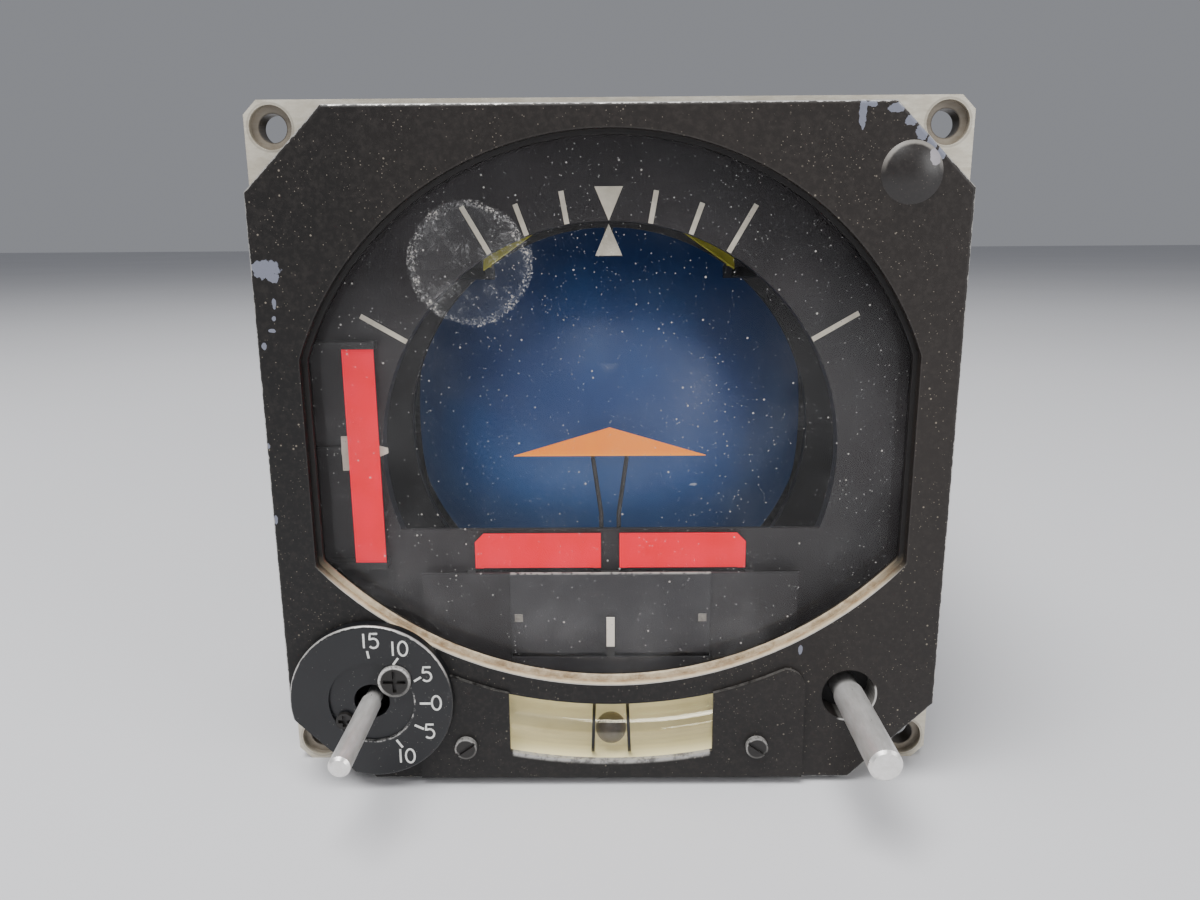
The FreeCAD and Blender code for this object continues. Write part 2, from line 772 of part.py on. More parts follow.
def pitch_gear():
    x0, x1 = pitch_gear_x, pitch_gear_x + pitch_gear_width
    teeth = gear_x(pitch_module, pitch_teeth, ball_depth, 0, -90, False, x0, x1)
    sleeve = rod_x(ball_depth, 0, axle_radius + hub_boss_wall, x1, ball_flat - 2 * hub_plate_thickness)
    body = join([teeth, sleeve])
    return body.cut(rod_x(ball_depth, 0, axle_radius + bearing_clearance, x0, ball_flat))


def pitch_axle():
    return rod_x(ball_depth, 0, axle_radius, -gimbal_radius + 0.2, gimbal_radius - 0.2)


def pitch_motor():
    rear = pitch_gear_x - pitch_motor_gap
    front = rear - pitch_motor_length
    middle = (front + rear) / 2
    can = rod_x(ball_depth, -pitch_centre, pitch_motor_radius, front, rear)
    clamp = block(middle - pitch_clamp_length / 2, middle + pitch_clamp_length / 2, ball_depth - pitch_clamp_half,
                  ball_depth + pitch_clamp_half, -pitch_centre, axle_radius + pitch_clamp_half / 2)
    body = join([can, clamp])
    body = body.cut(rod_x(ball_depth, 0, axle_radius, front, rear))
    return body.cut(rod_x(ball_depth, -pitch_centre, pitch_shaft_radius + running_clearance,
                          pitch_gear_x - pitch_pinion_reach - 0.5, rear))


def pitch_pinion():
    x0, x1 = pitch_gear_x, pitch_gear_x + pitch_gear_width
    teeth = gear_x(pitch_module, pitch_pinion_teeth, ball_depth, -pitch_centre, 90, True, x0, x1)
    return join([teeth, rod_x(ball_depth, -pitch_centre, pitch_shaft_radius, x0 - pitch_pinion_reach, x1)])


# ---- command bars ----
def command_bar():
    front, rear = bar_front_y, bar_front_y + bar_thickness
    bar = plate([(bar_inner_x, bar_inner_z), (bar_inner_x, bar_inner_z - bar_height),
                 (bar_outer_x, bar_outer_z - bar_height * 0.6), (bar_outer_x, bar_outer_z + bar_height * 0.6)],
                front, rear)
    cross_front = rear + cross_depth - cross_thickness
    middle = bar_outer_z
    arm_outer = arm_x + arm_thickness
    stem = block(bar_outer_x - 1.2, bar_outer_x, rear, rear + cross_depth, middle - 0.8, middle + 0.8)
    cross = block(bar_outer_x - 1.2, arm_outer, cross_front, rear + cross_depth, middle - 0.8, middle + 0.8)
    reach = Vector(0, cross_front - bar_pivot_y, middle)
    angle = math.degrees(math.atan2(-reach.z, -reach.y))
    arm = block(arm_x, arm_outer, bar_pivot_y - reach.Length, bar_pivot_y, -arm_half_height, arm_half_height)
    arm = tilted(arm, bar_pivot_y, 0, angle)
    hub = rod_x(bar_pivot_y, 0, command_hub_radius, arm_x - 0.5, arm_outer)
    body = join([bar, stem, cross, arm, hub])
    body = body.cut(rod_x(bar_pivot_y, 0, command_shaft_radius + slide_clearance, arm_x - 0.5, arm_outer))
    return tilted(body, bar_pivot_y, 0, -bar_park_angle)


def command_motors():
    motors = []
    for side in (-1, 1):
        inner, outer = command_motor_inner, command_motor_outer
        can = rod_x(bar_pivot_y, 0, command_motor_radius, inner, outer)
        foot = block(inner + command_motor_foot, outer - command_motor_foot, bar_pivot_y, front_bulkhead_y,
                     -command_motor_foot, command_motor_foot)
        shaft = rod_x(bar_pivot_y, 0, command_shaft_radius, outer, arm_x + arm_thickness + 0.2)
        motor = join([can, foot, shaft])
        motors.append(motor if side > 0 else mirrored(motor))
    return group(motors)


# ---- flags, pointers ----
def glideslope_flag():
    rear = mask_front - side_flag_gap
    half = glideslope_flag_height / 2
    return block(-glideslope_flag_right - glideslope_flag_width, -glideslope_flag_right,
                 rear - flag_thickness, rear, -half, half)


def low_flag():
    rear = mask_front - low_flag_gap
    top, low = -low_flag_top, -low_flag_top - low_flag_height
    tail_low = low - low_flag_tail
    inner, outer = low_flag_inner, low_flag_outer
    chamfer = low_flag_chamfer
    body = plate([(inner, top), (outer - chamfer, top), (outer, top - chamfer), (outer, tail_low),
                  (outer - low_flag_tail_width, tail_low), (outer - low_flag_tail_width, low),
                  (inner + low_flag_tail_width, low), (inner + low_flag_tail_width, tail_low), (inner, tail_low)],
                 rear - flag_thickness, rear)
    return body


def glideslope_pointer():
    middle = mask_front - scale_rod_gap
    rear = middle + pointer_thickness / 2
    level = (pointer_tip_top + pointer_tip_low) / 2
    stem_top, stem_low = level + pointer_stem_half, level - pointer_stem_half
    needle = plate([(-pointer_root_x, pointer_root_top), (-pointer_neck_x, pointer_root_top),
                    (-pointer_tip_x, pointer_tip_top), (-pointer_tip_x, pointer_tip_low),
                    (-pointer_neck_x, pointer_root_low), (-pointer_root_x, pointer_root_low),
                    (-pointer_root_x, stem_low), (-glideslope_rod_x, stem_low),
                    (-glideslope_rod_x, stem_top), (-pointer_root_x, stem_top)],
                   rear - pointer_thickness, rear)
    low, top = level - carriage_half_height, level + carriage_half_height
    carriage = block(-glideslope_rod_x - carriage_half, -glideslope_rod_x + carriage_half,
                     middle - 0.6, middle + 0.6, low, top)
    body = join([needle, carriage])
    return body.cut(rod_z(-glideslope_rod_x, middle, scale_rod_radius + slide_clearance, low, top))


def localizer_bar():
    middle = mask_front - scale_rod_gap
    front = panel_front - 0.35
    low = -slit_level - slit_height / 2 + 0.15
    carriage = block(-1.2, 1.2, middle - 0.6, middle + 0.6, low, -localizer_rod_z + 0.6)
    tab = block(-0.65, 0.65, front, middle, low, -slit_level + slit_height / 2 - 0.15)
    bar = block(-0.65, 0.65, front - 0.3, front, low, -slider_top)
    body = join([carriage, tab, bar])
    return body.cut(rod_x(middle, -localizer_rod_z, scale_rod_radius + slide_clearance, -1.2, 1.2))


# ---- inclinometer ----
def arc_point(radius, angle):
    turn = math.radians(angle)
    return Vector(radius * math.sin(turn), tube_y, tube_arc_centre - radius * math.cos(turn))


def curved_rod(radius, from_angle, to_angle):
    middle = (from_angle + to_angle) / 2
    start, end = arc_point(tube_arc_radius, from_angle), arc_point(tube_arc_radius, to_angle)
    path = Part.Wire(Part.Arc(start, arc_point(tube_arc_radius, middle), end).toShape())
    turn = math.radians(from_angle)
    ring = Part.Wire(Part.Circle(start, Vector(math.cos(turn), 0, math.sin(turn)), radius).toShape())
    return path.makePipeShell([ring], True, True)


def inclinometer_tube():
    outer = curved_rod(tube_radius, -tube_half_angle, tube_half_angle)
    return outer.cut(curved_rod(tube_radius - tube_wall, -tube_half_angle, tube_half_angle))


def inclinometer_caps():
    cap = curved_rod(tube_radius, tube_half_angle, tube_half_angle + tube_cap_angle)
    return group(both_sides(cap))


def index_wires():
    wires = []
    for side in (-1, 1):
        angle = math.degrees(math.asin(index_x / tube_arc_radius)) * side
        centre = arc_point(tube_arc_radius, angle)
        along = Vector(math.cos(math.radians(angle)), 0, math.sin(math.radians(angle)))
        start = centre - along * index_wire
        band = Part.makeCylinder(tube_radius + index_wire, index_wire * 2, start, along)
        wires.append(band.cut(Part.makeCylinder(tube_radius + 0.02, index_wire * 2, start, along)))
    reach = index_x + tube_radius
    keep = block(-reach, reach, bezel_front - 0.2, flange_front, -tube_level - reach, reach - tube_level)
    return group([wire.common(keep) for wire in wires])


def inclinometer_back():
    return block(-backing_half_width, backing_half_width, mask_front, mask_rear, -mask_side / 2, -backing_top)


def inclinometer_ball():
    return Part.makeSphere(slip_ball_radius, arc_point(tube_arc_radius, 0))


def cover_outline():
    def on_arc(radius, x, centre_z):
        return Vector(x, 0, centre_z - math.sqrt(radius ** 2 - x ** 2))
    wide, inner, low = cover_half_width, cover_inner_x, -cover_low
    shoulder = wide - cover_corner
    crown = on_arc(cover_top_radius, shoulder, window_low_centre)
    inside = on_arc(cover_top_radius, inner, window_low_centre)
    between = on_arc(cover_top_radius, (inner + shoulder) / 2, window_low_centre)
    side_top = Vector(wide, 0, crown.z - cover_corner)
    knee = on_arc(cover_strip_radius, inner, tube_arc_centre)
    bottom = Vector(0, 0, tube_arc_centre - cover_strip_radius)
    swing = cover_corner * (1 - math.sqrt(0.5))
    bulge = Vector(wide - swing, 0, crown.z - swing)

    def other(point):
        return Vector(-point.x, 0, point.z)
    return face_of([
        Part.LineSegment(Vector(-wide, 0, low), Vector(wide, 0, low)).toShape(),
        Part.LineSegment(Vector(wide, 0, low), side_top).toShape(),
        Part.Arc(side_top, bulge, crown).toShape(),
        Part.Arc(crown, between, inside).toShape(),
        Part.LineSegment(inside, knee).toShape(),
        Part.Arc(knee, bottom, other(knee)).toShape(),
        Part.LineSegment(other(knee), other(inside)).toShape(),
        Part.Arc(other(inside), other(between), other(crown)).toShape(),
        Part.Arc(other(crown), other(bulge), other(side_top)).toShape(),
        Part.LineSegment(other(side_top), Vector(-wide, 0, low)).toShape()])


def inclinometer_cover():
    body = raised(cover_outline(), bezel_front - cover_thickness, bezel_front)
    body = body.cut(rod_y(knob_x, -knob_z, bezel_knob_hole, bezel_front - cover_thickness, bezel_front))
    body = body.cut(rod_y(-knob_x, -knob_z, bezel_knob_hole, bezel_front - cover_thickness, bezel_front))
    for side in (-1, 1):
        body = body.cut(rod_y(side * cover_screw_x, -cover_screw_z, cover_screw_radius * 0.5,
                              bezel_front - cover_thickness, bezel_front))
    return body


def cover_screws():
    front = bezel_front - cover_thickness
    head_front = front - cover_screw_proud
    return group([slotted_screw(side * cover_screw_x, -cover_screw_z, cover_screw_radius, head_front, front,
                                bezel_front + cover_screw_reach, 35 * side) for side in (-1, 1)])


# ---- trim dial, knob shafts, cap ----
def trim_dial():
    front = bezel_front - dial_height
    disc = rod_y(-knob_x, -knob_z, dial_radius, front, bezel_front)
    rim = [edge for edge in disc.Edges if edge.BoundBox.YMax < front + 0.01]
    disc = disc.makeFillet(0.4, rim)
    disc = disc.cut(rod_y(-knob_x, -knob_z, dial_recess_radius, front, front + dial_recess_depth))
    disc = disc.cut(rod_y(-knob_x, -knob_z, dial_bore_radius, front, bezel_front))
    disc = disc.cut(raised(cover_outline(), bezel_front - cover_thickness, bezel_front))
    for x, z, radius in ((-dial_screw_x, -dial_screw_z, dial_screw_radius),
                         (-dial_stud_x, -dial_stud_z, dial_stud_radius)):
        disc = disc.cut(rod_y(x, z, radius + slip, front, front + dial_recess_depth))
        disc = disc.cut(rod_y(x, z, radius * 0.5, front, bezel_front))
    shape = square_outline(bezel_width / 2, bezel_top, bezel_bottom, bezel_top_corner, bezel_bottom_corner)
    return disc.common(raised(shape, front, bezel_front))


def dial_screws():
    seat = bezel_front - dial_height + dial_recess_depth
    screws = []
    for x, z, radius, proud in ((-dial_screw_x, -dial_screw_z, dial_screw_radius, 0.5),
                                (-dial_stud_x, -dial_stud_z, dial_stud_radius, 0.2)):
        front = seat - dial_recess_depth - proud
        head = rod_y(x, z, radius, front, seat)
        bar = block(x - radius * 0.7, x + radius * 0.7, front, front + 0.5, z - 0.3, z + 0.3)
        post = block(x - 0.3, x + 0.3, front, front + 0.5, z - radius * 0.7, z + radius * 0.7)
        shank = rod_y(x, z, radius * 0.5, seat, bezel_front + 3)
        screws.append(join([head.cut(bar.fuse(post)), shank]))
    return group(screws)


def knob_shaft(side, radius, face):
    tip = bezel_front - shaft_reach
    seat_end = face - knob_seat_gap
    seat = rod_y(side * knob_x, -knob_z, radius, tip, seat_end)
    ends = [edge for edge in seat.Edges if edge.BoundBox.YMax < tip + 0.01]
    journal = rod_y(side * knob_x, -knob_z, radius - shaft_relief, seat_end, shaft_in_pot)
    return join([seat.makeChamfer(shaft_chamfer, ends), journal])


def knob_bushes():
    bushes = []
    for side, radius in ((1, right_shaft_radius), (-1, left_shaft_radius)):
        outer = bezel_knob_hole
        bushes.append(tube_along_y(side * knob_x, -knob_z, radius - shaft_relief + running_clearance, outer,
                                   flange_front - bush_length, flange_front))
    return group(bushes)


def knob_potentiometers():
    pots = []
    for side, radius in ((1, right_shaft_radius), (-1, left_shaft_radius)):
        neck = rod_y(side * knob_x, -knob_z, pot_neck_radius, flange_front, 0)
        can = rod_y(side * knob_x, -knob_z, pot_radius, 0, pot_length)
        body = join([neck, can])
        pots.append(body.cut(rod_y(side * knob_x, -knob_z, radius - shaft_relief + running_clearance,
                                   flange_front, shaft_in_pot + 0.5)))
    return group(pots)


def blanking_cap():
    dome_radius = (cap_radius ** 2 + cap_height ** 2) / (2 * cap_height)
    centre = Vector(cap_x, bezel_front - cap_height + dome_radius, cap_z)
    dome = Part.makeSphere(dome_radius, centre)
    return dome.common(rod_y(cap_x, cap_z, cap_radius, bezel_front - cap_height, bezel_front))


# ---- chassis ----
def rail_shapes(y0, y1):
    return [block(sx * rail_x - rail_width / 2, sx * rail_x + rail_width / 2, y0, y1,
                  sz * rail_z - rail_height / 2, sz * rail_z + rail_height / 2)
            for sx in (-1, 1) for sz in (-1, 1)]


def chassis_rails():
    return group(rail_shapes(0, rail_length))


def bulkhead(y0, y1):
    body = raised(case_section(case_wall + bulkhead_gap), y0, y1)
    body = body.cut(rod_y(0, 0, bearing_radius, y0, y1))
    for rail in rail_shapes(y0, y1):
        body = body.cut(rail)
    return body


def front_bulkhead():
    body = bulkhead(front_bulkhead_y, front_bulkhead_y + front_bulkhead_thickness)
    return body.cut(rod_y(drive_x, drive_z, drive_shaft_radius + running_clearance,
                          front_bulkhead_y, front_bulkhead_y + front_bulkhead_thickness))


def rear_bulkhead():
    return bulkhead(rear_bulkhead_y, rear_bulkhead_y + rear_bulkhead_thickness)


def roll_bearings():
    bore = roll_shaft_radius + bearing_clearance
    return group([tube_along_y(0, 0, bore, bearing_radius, front_bulkhead_y,
                               front_bulkhead_y + front_bulkhead_thickness),
                  tube_along_y(0, 0, bore, bearing_radius, rear_bulkhead_y,
                               rear_bulkhead_y + rear_bulkhead_thickness)])


def brush_block():
    start = rear_bulkhead_y + rear_bulkhead_thickness
    body = block(-brush_half_width, brush_half_width, start, roll_shaft_end - 3.0, brush_inner, brush_outer)
    combs = [block(-0.4, 0.4, start + 2.7 + slip_ring_pitch * n, start + 3.3 + slip_ring_pitch * n,
                   bearing_radius + ring_brush_gap, brush_inner) for n in range(slip_ring_grooves)]
    return join([body] + combs)


def servo_board():
    half = rail_z + rail_height / 2
    face = rail_length + board_thickness
    board = block(-board_half_width, board_half_width, rail_length, face, -half, half)
    side = board_part_side
    parts = [block(x * side, (x + 1) * side, face, face + board_part_height, z * side, (z + 0.6) * side)
             for x in (-3.6, -2.0, 0.9, 2.5) for z in (-3.8, -2.2, 1.3, 2.9)]
    cans = [rod_y(x * side, 0, board_can_radius, face, face + board_can_height) for x in (-2.9, 2.9)]
    return join([board] + parts + cans)


# ---- case ----
def case_section(inset):
    half = case_side / 2 - inset
    corner = case_corner - inset * (2 - math.sqrt(2))
    return square_outline(half, half, half, corner, corner)


def case_can():
    return raised(case_section(0), 0, case_length).cut(raised(case_section(case_wall), 0, case_length))


def rear_cover():
    body = raised(case_section(0), case_length, case_length + rear_cover_thickness)
    body = body.cut(rod_y(0, 0, connector_radius - connector_wall, case_length, case_length + rear_cover_thickness))
    return body


def rear_screws():
    seat = case_length + rear_cover_thickness
    reach = case_side / 2 - 8.0
    return group([rod_y(sx * reach, sz * reach * 0.86, rear_screw_radius, seat, seat + rear_screw_head)
                  for sx in (-1, 1) for sz in (-1, 1)])


def rear_connector():
    start = case_length + rear_cover_thickness
    flange = tube_along_y(0, 0, connector_radius - connector_wall, connector_radius + 3, start, start + 2)
    shell = tube_along_y(0, 0, connector_radius - connector_wall, connector_radius, start, start + connector_length)
    insert = rod_y(0, 0, connector_radius - connector_wall, case_length, start + 3)
    pins = []
    for ring, count in ((0, 1), (4.4, 6), (8.8, 12)):
        for number in range(count):
            angle = 2 * math.pi * number / count
            pins.append(rod_y(ring * math.cos(angle), ring * math.sin(angle), pin_radius,
                              start + 3, start + 3 + pin_length))
    key = block(-1.2, 1.2, start + 3, start + connector_length, connector_radius - connector_wall - 1.5,
                connector_radius - connector_wall + 0.5)
    return group([join([flange, shell, insert, key])] + pins)


NODES = {
    "mounting_flange": mounting_flange, "bezel": bezel, "window_glass": window_glass,
    "glass_gasket": glass_gasket, "dial_mask": dial_mask, "lower_panel": lower_panel,
    "flag_guides": flag_guides, "slide_rods": slide_rods, "delta_symbol": delta_symbol,
    "symbol_support": symbol_support, "pointer_ring": pointer_ring, "pointer_guides": pointer_guides,
    "pointer_drive_shaft": pointer_drive_shaft, "roll_pinion": roll_pinion, "roll_motor": roll_motor,
    "roll_gimbal": roll_gimbal, "roll_shaft": roll_shaft, "roll_gear": roll_gear,
    "slip_rings": slip_rings, "synchro_rotor": synchro_rotor, "synchro_stator": synchro_stator,
    "sky_shell": lambda: ball_shell(0), "ground_shell": lambda: ball_shell(180),
    "ball_hubs": ball_hubs, "pitch_gear": pitch_gear, "pitch_axle": pitch_axle,
    "pitch_motor": pitch_motor, "pitch_pinion": pitch_pinion,
    "right_command_bar": command_bar, "left_command_bar": lambda: mirrored(command_bar()),
    "command_motors": command_motors, "glideslope_flag": glideslope_flag,
    "right_low_flag": low_flag, "left_low_flag": lambda: mirrored(low_flag()),
    "glideslope_pointer": glideslope_pointer, "localizer_bar": localizer_bar,
    "inclinometer_tube": inclinometer_tube, "inclinometer_caps": inclinometer_caps,
    "index_wires": index_wires, "inclinometer_back": inclinometer_back,
    "inclinometer_ball": inclinometer_ball, "inclinometer_cover": inclinometer_cover,
    "cover_screws": cover_screws, "trim_dial": trim_dial, "dial_screws": dial_screws,
    "right_knob_shaft": lambda: knob_shaft(1, right_shaft_radius, bezel_front),
    "left_knob_shaft": lambda: knob_shaft(-1, left_shaft_radius, bezel_front - dial_height),
    "knob_bushes": knob_bushes, "knob_potentiometers": knob_potentiometers,
    "blanking_cap": blanking_cap, "chassis_rails": chassis_rails,
    "front_bulkhead": front_bulkhead, "rear_bulkhead": rear_bulkhead, "roll_bearings": roll_bearings,
    "brush_block": brush_block, "servo_board": servo_board, "case_can": case_can,
    "rear_cover": rear_cover, "rear_screws": rear_screws, "rear_connector": rear_connector,
}

os.makedirs("parts", exist_ok=True)
for name, make in NODES.items():
    shape = make()
    shape.exportStep("parts/" + name + ".step")
    print(name, len(shape.Solids), round(shape.Volume, 2), shape.isValid())
print(len(NODES), "nodes")
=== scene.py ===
import math

import bpy
import numpy as np
from mathutils import Euler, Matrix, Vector


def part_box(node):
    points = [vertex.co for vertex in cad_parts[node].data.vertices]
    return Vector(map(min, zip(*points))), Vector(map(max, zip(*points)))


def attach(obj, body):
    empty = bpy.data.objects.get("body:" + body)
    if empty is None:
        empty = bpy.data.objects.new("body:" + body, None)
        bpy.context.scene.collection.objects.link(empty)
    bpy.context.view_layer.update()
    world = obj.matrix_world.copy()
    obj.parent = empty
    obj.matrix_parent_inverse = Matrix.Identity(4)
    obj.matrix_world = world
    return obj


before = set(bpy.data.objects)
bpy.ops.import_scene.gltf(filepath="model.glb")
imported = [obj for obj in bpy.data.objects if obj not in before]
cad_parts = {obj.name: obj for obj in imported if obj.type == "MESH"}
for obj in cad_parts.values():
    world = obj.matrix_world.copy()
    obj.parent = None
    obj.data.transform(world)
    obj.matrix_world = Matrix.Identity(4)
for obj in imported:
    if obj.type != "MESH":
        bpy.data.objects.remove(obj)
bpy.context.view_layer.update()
print("frame loaded:", len(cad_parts), "nodes")


def mm(value):
    return value * 0.001


def nodeBox(name):
    low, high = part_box(name)
    return np.array(low), np.array(high)


flangeLow = nodeBox("mounting_flange")[0]
caseLow, caseHigh = nodeBox("case_can")
bezelFront, maskFront, panelFront, dialFront = (nodeBox(name)[0][1] for name in
                                                ("bezel", "dial_mask", "lower_panel", "trim_dial"))


# shader expressions: Val wraps one socket, and an operator adds the node it needs
class Val:
    def __init__(self, book, socket, kind="number"):
        self.book, self.socket, self.kind = book, socket, kind

    def join(self, other, operation, swap=False):
        first, second = (other, self) if swap else (self, other)
        kinds = [getattr(v, "kind", "number") for v in (first, second)]
        if "vector" in kinds:
            return self.book.vectorMath(operation, first, second)
        return self.book.math(operation, first, second)

    def __add__(self, other): return self.join(other, "ADD")
    def __radd__(self, other): return self.join(other, "ADD", True)
    def __sub__(self, other): return self.join(other, "SUBTRACT")
    def __rsub__(self, other): return self.join(other, "SUBTRACT", True)
    def __mul__(self, other): return self.join(other, "MULTIPLY")
    def __rmul__(self, other): return self.join(other, "MULTIPLY", True)
    def __truediv__(self, other): return self.join(other, "DIVIDE")
    def __gt__(self, other): return self.join(other, "GREATER_THAN")


# One material's node tree; make() adds any node from its type, settings and socket values
class Book:
    def __init__(self, name):
        self.material = bpy.data.materials.new(name)
        self.material.use_nodes = True
        self.tree = self.material.node_tree
        self.tree.nodes.clear()
        self.output = self.tree.nodes.new("ShaderNodeOutputMaterial")
        self.shader = self.tree.nodes.new("ShaderNodeBsdfPrincipled")
        self.tree.links.new(self.shader.outputs[0], self.output.inputs[0])
        coords = self.tree.nodes.new("ShaderNodeTexCoord")
        self.place = Val(self, coords.outputs["Object"], "vector")
        parts = self.make("ShaderNodeSeparateXYZ", {}, {0: self.place})
        self.x, self.y, self.z = (Val(self, parts.outputs[i]) for i in range(3))

    def make(self, kind, settings, values):
        node = self.tree.nodes.new(kind)
        for key, value in settings.items():
            setattr(node, key, value)
        for key, value in values.items():
            self.feed(node.inputs[key], value)
        return node

    def feed(self, socket, value):
        if isinstance(value, Val):
            self.tree.links.new(value.socket, socket)
        elif isinstance(value, (tuple, list)) and socket.type == "RGBA":
            socket.default_value = tone(value)
        elif isinstance(value, (int, float)) and socket.type == "VECTOR":
            socket.default_value = (value, value, value)
        else:
            socket.default_value = value

    def math(self, operation, first, second=0.0):
        node = self.make("ShaderNodeMath", {"operation": operation}, {0: first, 1: second})
        return Val(self, node.outputs[0])

    def vectorMath(self, operation, first, second):
        node = self.make("ShaderNodeVectorMath", {"operation": operation}, {0: first, 1: second})
        return Val(self, node.outputs["Vector"], "vector")

    def clip(self, value, low=0.0, high=1.0):
        node = self.make("ShaderNodeClamp", {}, {"Value": value, "Min": low, "Max": high})
        return Val(self, node.outputs[0])

    # Smooth rise from 0 at start to 1 at end
    def step(self, value, start, end):
        node = self.make("ShaderNodeMapRange", {"interpolation_type": "SMOOTHSTEP"},
                         {"Value": value, "From Min": start, "From Max": end})
        return Val(self, node.outputs[0])

    def length(self, x, z):
        return self.math("SQRT", x * x + z * z)

    def noise(self, size, detail=3.0, rough=0.55, stretch=None):
        where = self.place * self.constant(stretch) if stretch else self.place
        node = self.make("ShaderNodeTexNoise", {}, {"Vector": where, "Scale": 1.0 / size,
                                                    "Detail": detail, "Roughness": rough})
        return Val(self, node.outputs["Fac"])

    def cells(self, size):
        node = self.make("ShaderNodeTexVoronoi", {"feature": "F1"},
                         {"Vector": self.place, "Scale": 1.0 / size, "Randomness": 1.0})
        return Val(self, node.outputs["Distance"])

    def constant(self, triple):
        return Val(self, self.make("ShaderNodeCombineXYZ", {}, dict(enumerate(triple))).outputs[0], "vector")

    def mix(self, mask, first, second):
        node = self.make("ShaderNodeMix", {"data_type": "RGBA"}, {})
        for socket in node.inputs:
            if socket.type == "RGBA" and socket.name in "AB":
                self.feed(socket, first if socket.name == "A" else second)
        self.feed(node.inputs["Factor"], mask)
        return Val(self, next(o for o in node.outputs if o.type == "RGBA"), "colour")

    # A number that goes from first to second with the mask
    def blend(self, mask, first, second):
        return self.clip(first + mask * (second - first), -1000.0, 1000.0)

    def bump(self, height, depth, strength=1.0):
        node = self.make("ShaderNodeBump", {}, {"Height": height, "Distance": depth, "Strength": strength})
        return Val(self, node.outputs[0], "vector")

    def finish(self, **sockets):
        for name, value in sockets.items():
            self.feed(self.shader.inputs[name.replace("_", " ")], value)
        return self.material


# Display colour (0 to 1) as the linear colour that a node wants
def tone(colour):
    lin = [c / 12.92 if c <= 0.04045 else ((c + 0.055) / 1.055) ** 2.4 for c in colour[:3]]
    return (*lin, 1.0)


# meshes from numpy
def addMesh(name, verts, faces, body, material, slot):
    data = bpy.data.meshes.new(name)
    data.from_pydata([tuple(v) for v in verts], [], [tuple(f) for f in faces])
    data.update()
    data.materials.append(material)
    piece = bpy.data.objects.new(name, data)
    bpy.context.scene.collection.objects.link(piece)
    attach(piece, body)


# Each outline (x, z) in metres becomes a closed slab between the depths front and back
def prisms(outlines, front, back):
    verts, faces = [], []
    for outline in outlines:
        ring = np.asarray(outline, dtype=float)
        area = np.sum(ring[:, 0] * np.roll(ring[:, 1], -1) - ring[:, 1] * np.roll(ring[:, 0], -1))
        ring = ring if area > 0 else ring[::-1]
        count, start = len(ring), len(verts)
        for depth in (front, back):
            verts += [(x, depth, z) for x, z in ring]
        near = list(range(start, start + count))
        far = list(range(start + count, start + 2 * count))
        faces.append(near)
        faces.append(far[::-1])
        step = np.roll(np.arange(count), -1)
        faces += [(near[i], far[i], far[step[i]], near[step[i]]) for i in range(count)]
    return verts, faces


# Outline turned clockwise by angle degrees about centre, as seen from the front
def turned(outline, angle, centre=(0.0, 0.0)):
    turn = math.radians(angle)
    flat = np.asarray(outline) - centre
    return np.column_stack([flat[:, 0] * math.cos(turn) + flat[:, 1] * math.sin(turn),
                            flat[:, 1] * math.cos(turn) - flat[:, 0] * math.sin(turn)]) + centre


def bar(halfWidth, low, high):
    return np.array([(-halfWidth, low), (halfWidth, low), (halfWidth, high), (-halfWidth, high)])


def paintNode(name, material):
    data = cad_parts[name].data
    if data.materials:
        for slotNumber in range(len(data.materials)):
            data.materials[slotNumber] = material
    else:
        data.materials.append(material)


# edge and dust masks shared by several finishes
# Distance inward from a square outline with cut corners: the least of its side distances
def outlineDistance(book, size):
    acrossX = size["half"] - book.math("ABSOLUTE", book.x)
    acrossTop = size["top"] - book.z
    acrossLow = book.z + size["low"]
    slope = book.math("ABSOLUTE", book.x) + book.math("ABSOLUTE", book.z)
    cornerTop = (size["topSum"] - slope) * size["diagonal"]
    cornerLow = (size["lowSum"] - slope) * size["diagonal"]
    upper = book.z > 0.0
    corner = cornerLow + upper * (cornerTop - cornerLow)
    nearest = book.math("MINIMUM", acrossX, book.math("MINIMUM", acrossTop, acrossLow))
    return book.math("MINIMUM", nearest, corner)


# Distance inward from the window's edge: the least of top circle, straight sides and low circle
windowShape = {"topRadius": 47.9, "half": 45.1, "lowRadius": 61.0, "lowCentre": 25.5}


def windowDistance(book):
    w = windowShape
    top = mm(w["topRadius"]) - book.length(book.x, book.z)
    side = mm(w["half"]) - book.math("ABSOLUTE", book.x)
    low = mm(w["lowRadius"]) - book.length(book.x, book.z - mm(w["lowCentre"]))
    return book.math("MINIMUM", top, book.math("MINIMUM", side, low))


# Small separate grains: cells whose centre is near, kept where a coarse noise is high
def dustSpecks(book, size, share):
    near = book.step(book.cells(size), 0.13, 0.06)
    patch = book.step(book.noise(size * 7.0, 2.0), 1.0 - share, 1.06 - share)
    return near * patch


# An uneven patch centred on (x, z): a stretched radius disturbed by noise
def blob(book, x, z, width, height, wobble=0.35, size=0.0016):
    across = (book.x - x) / width
    up = (book.z - z) / height
    far = book.length(across, up) + (book.noise(size, 3.0) - 0.5) * (2.0 * wobble)
    return book.step(far, 1.04, 0.96)


# black paint of the bezel and its cover plate
bezelPaint = {"paint": (0.165, 0.148, 0.138), "deep": (0.090, 0.086, 0.084), "metal": (0.80, 0.79, 0.77),
              "chip": (0.46, 0.47, 0.52), "dust": (0.66, 0.62, 0.56), "cream": (0.90, 0.86, 0.68),
              "beige": (0.83, 0.77, 0.66), "brown": (0.56, 0.47, 0.36), "haze": (0.33, 0.30, 0.28),
              "shine": 0.3, "slotPaintedGlow": 0.3, "wear": mm(0.28), "half": mm(51.1), "top": mm(51.3), "low": mm(52.0),
              "topSum": mm(90.8), "lowSum": mm(90.2), "diagonal": 0.7071}
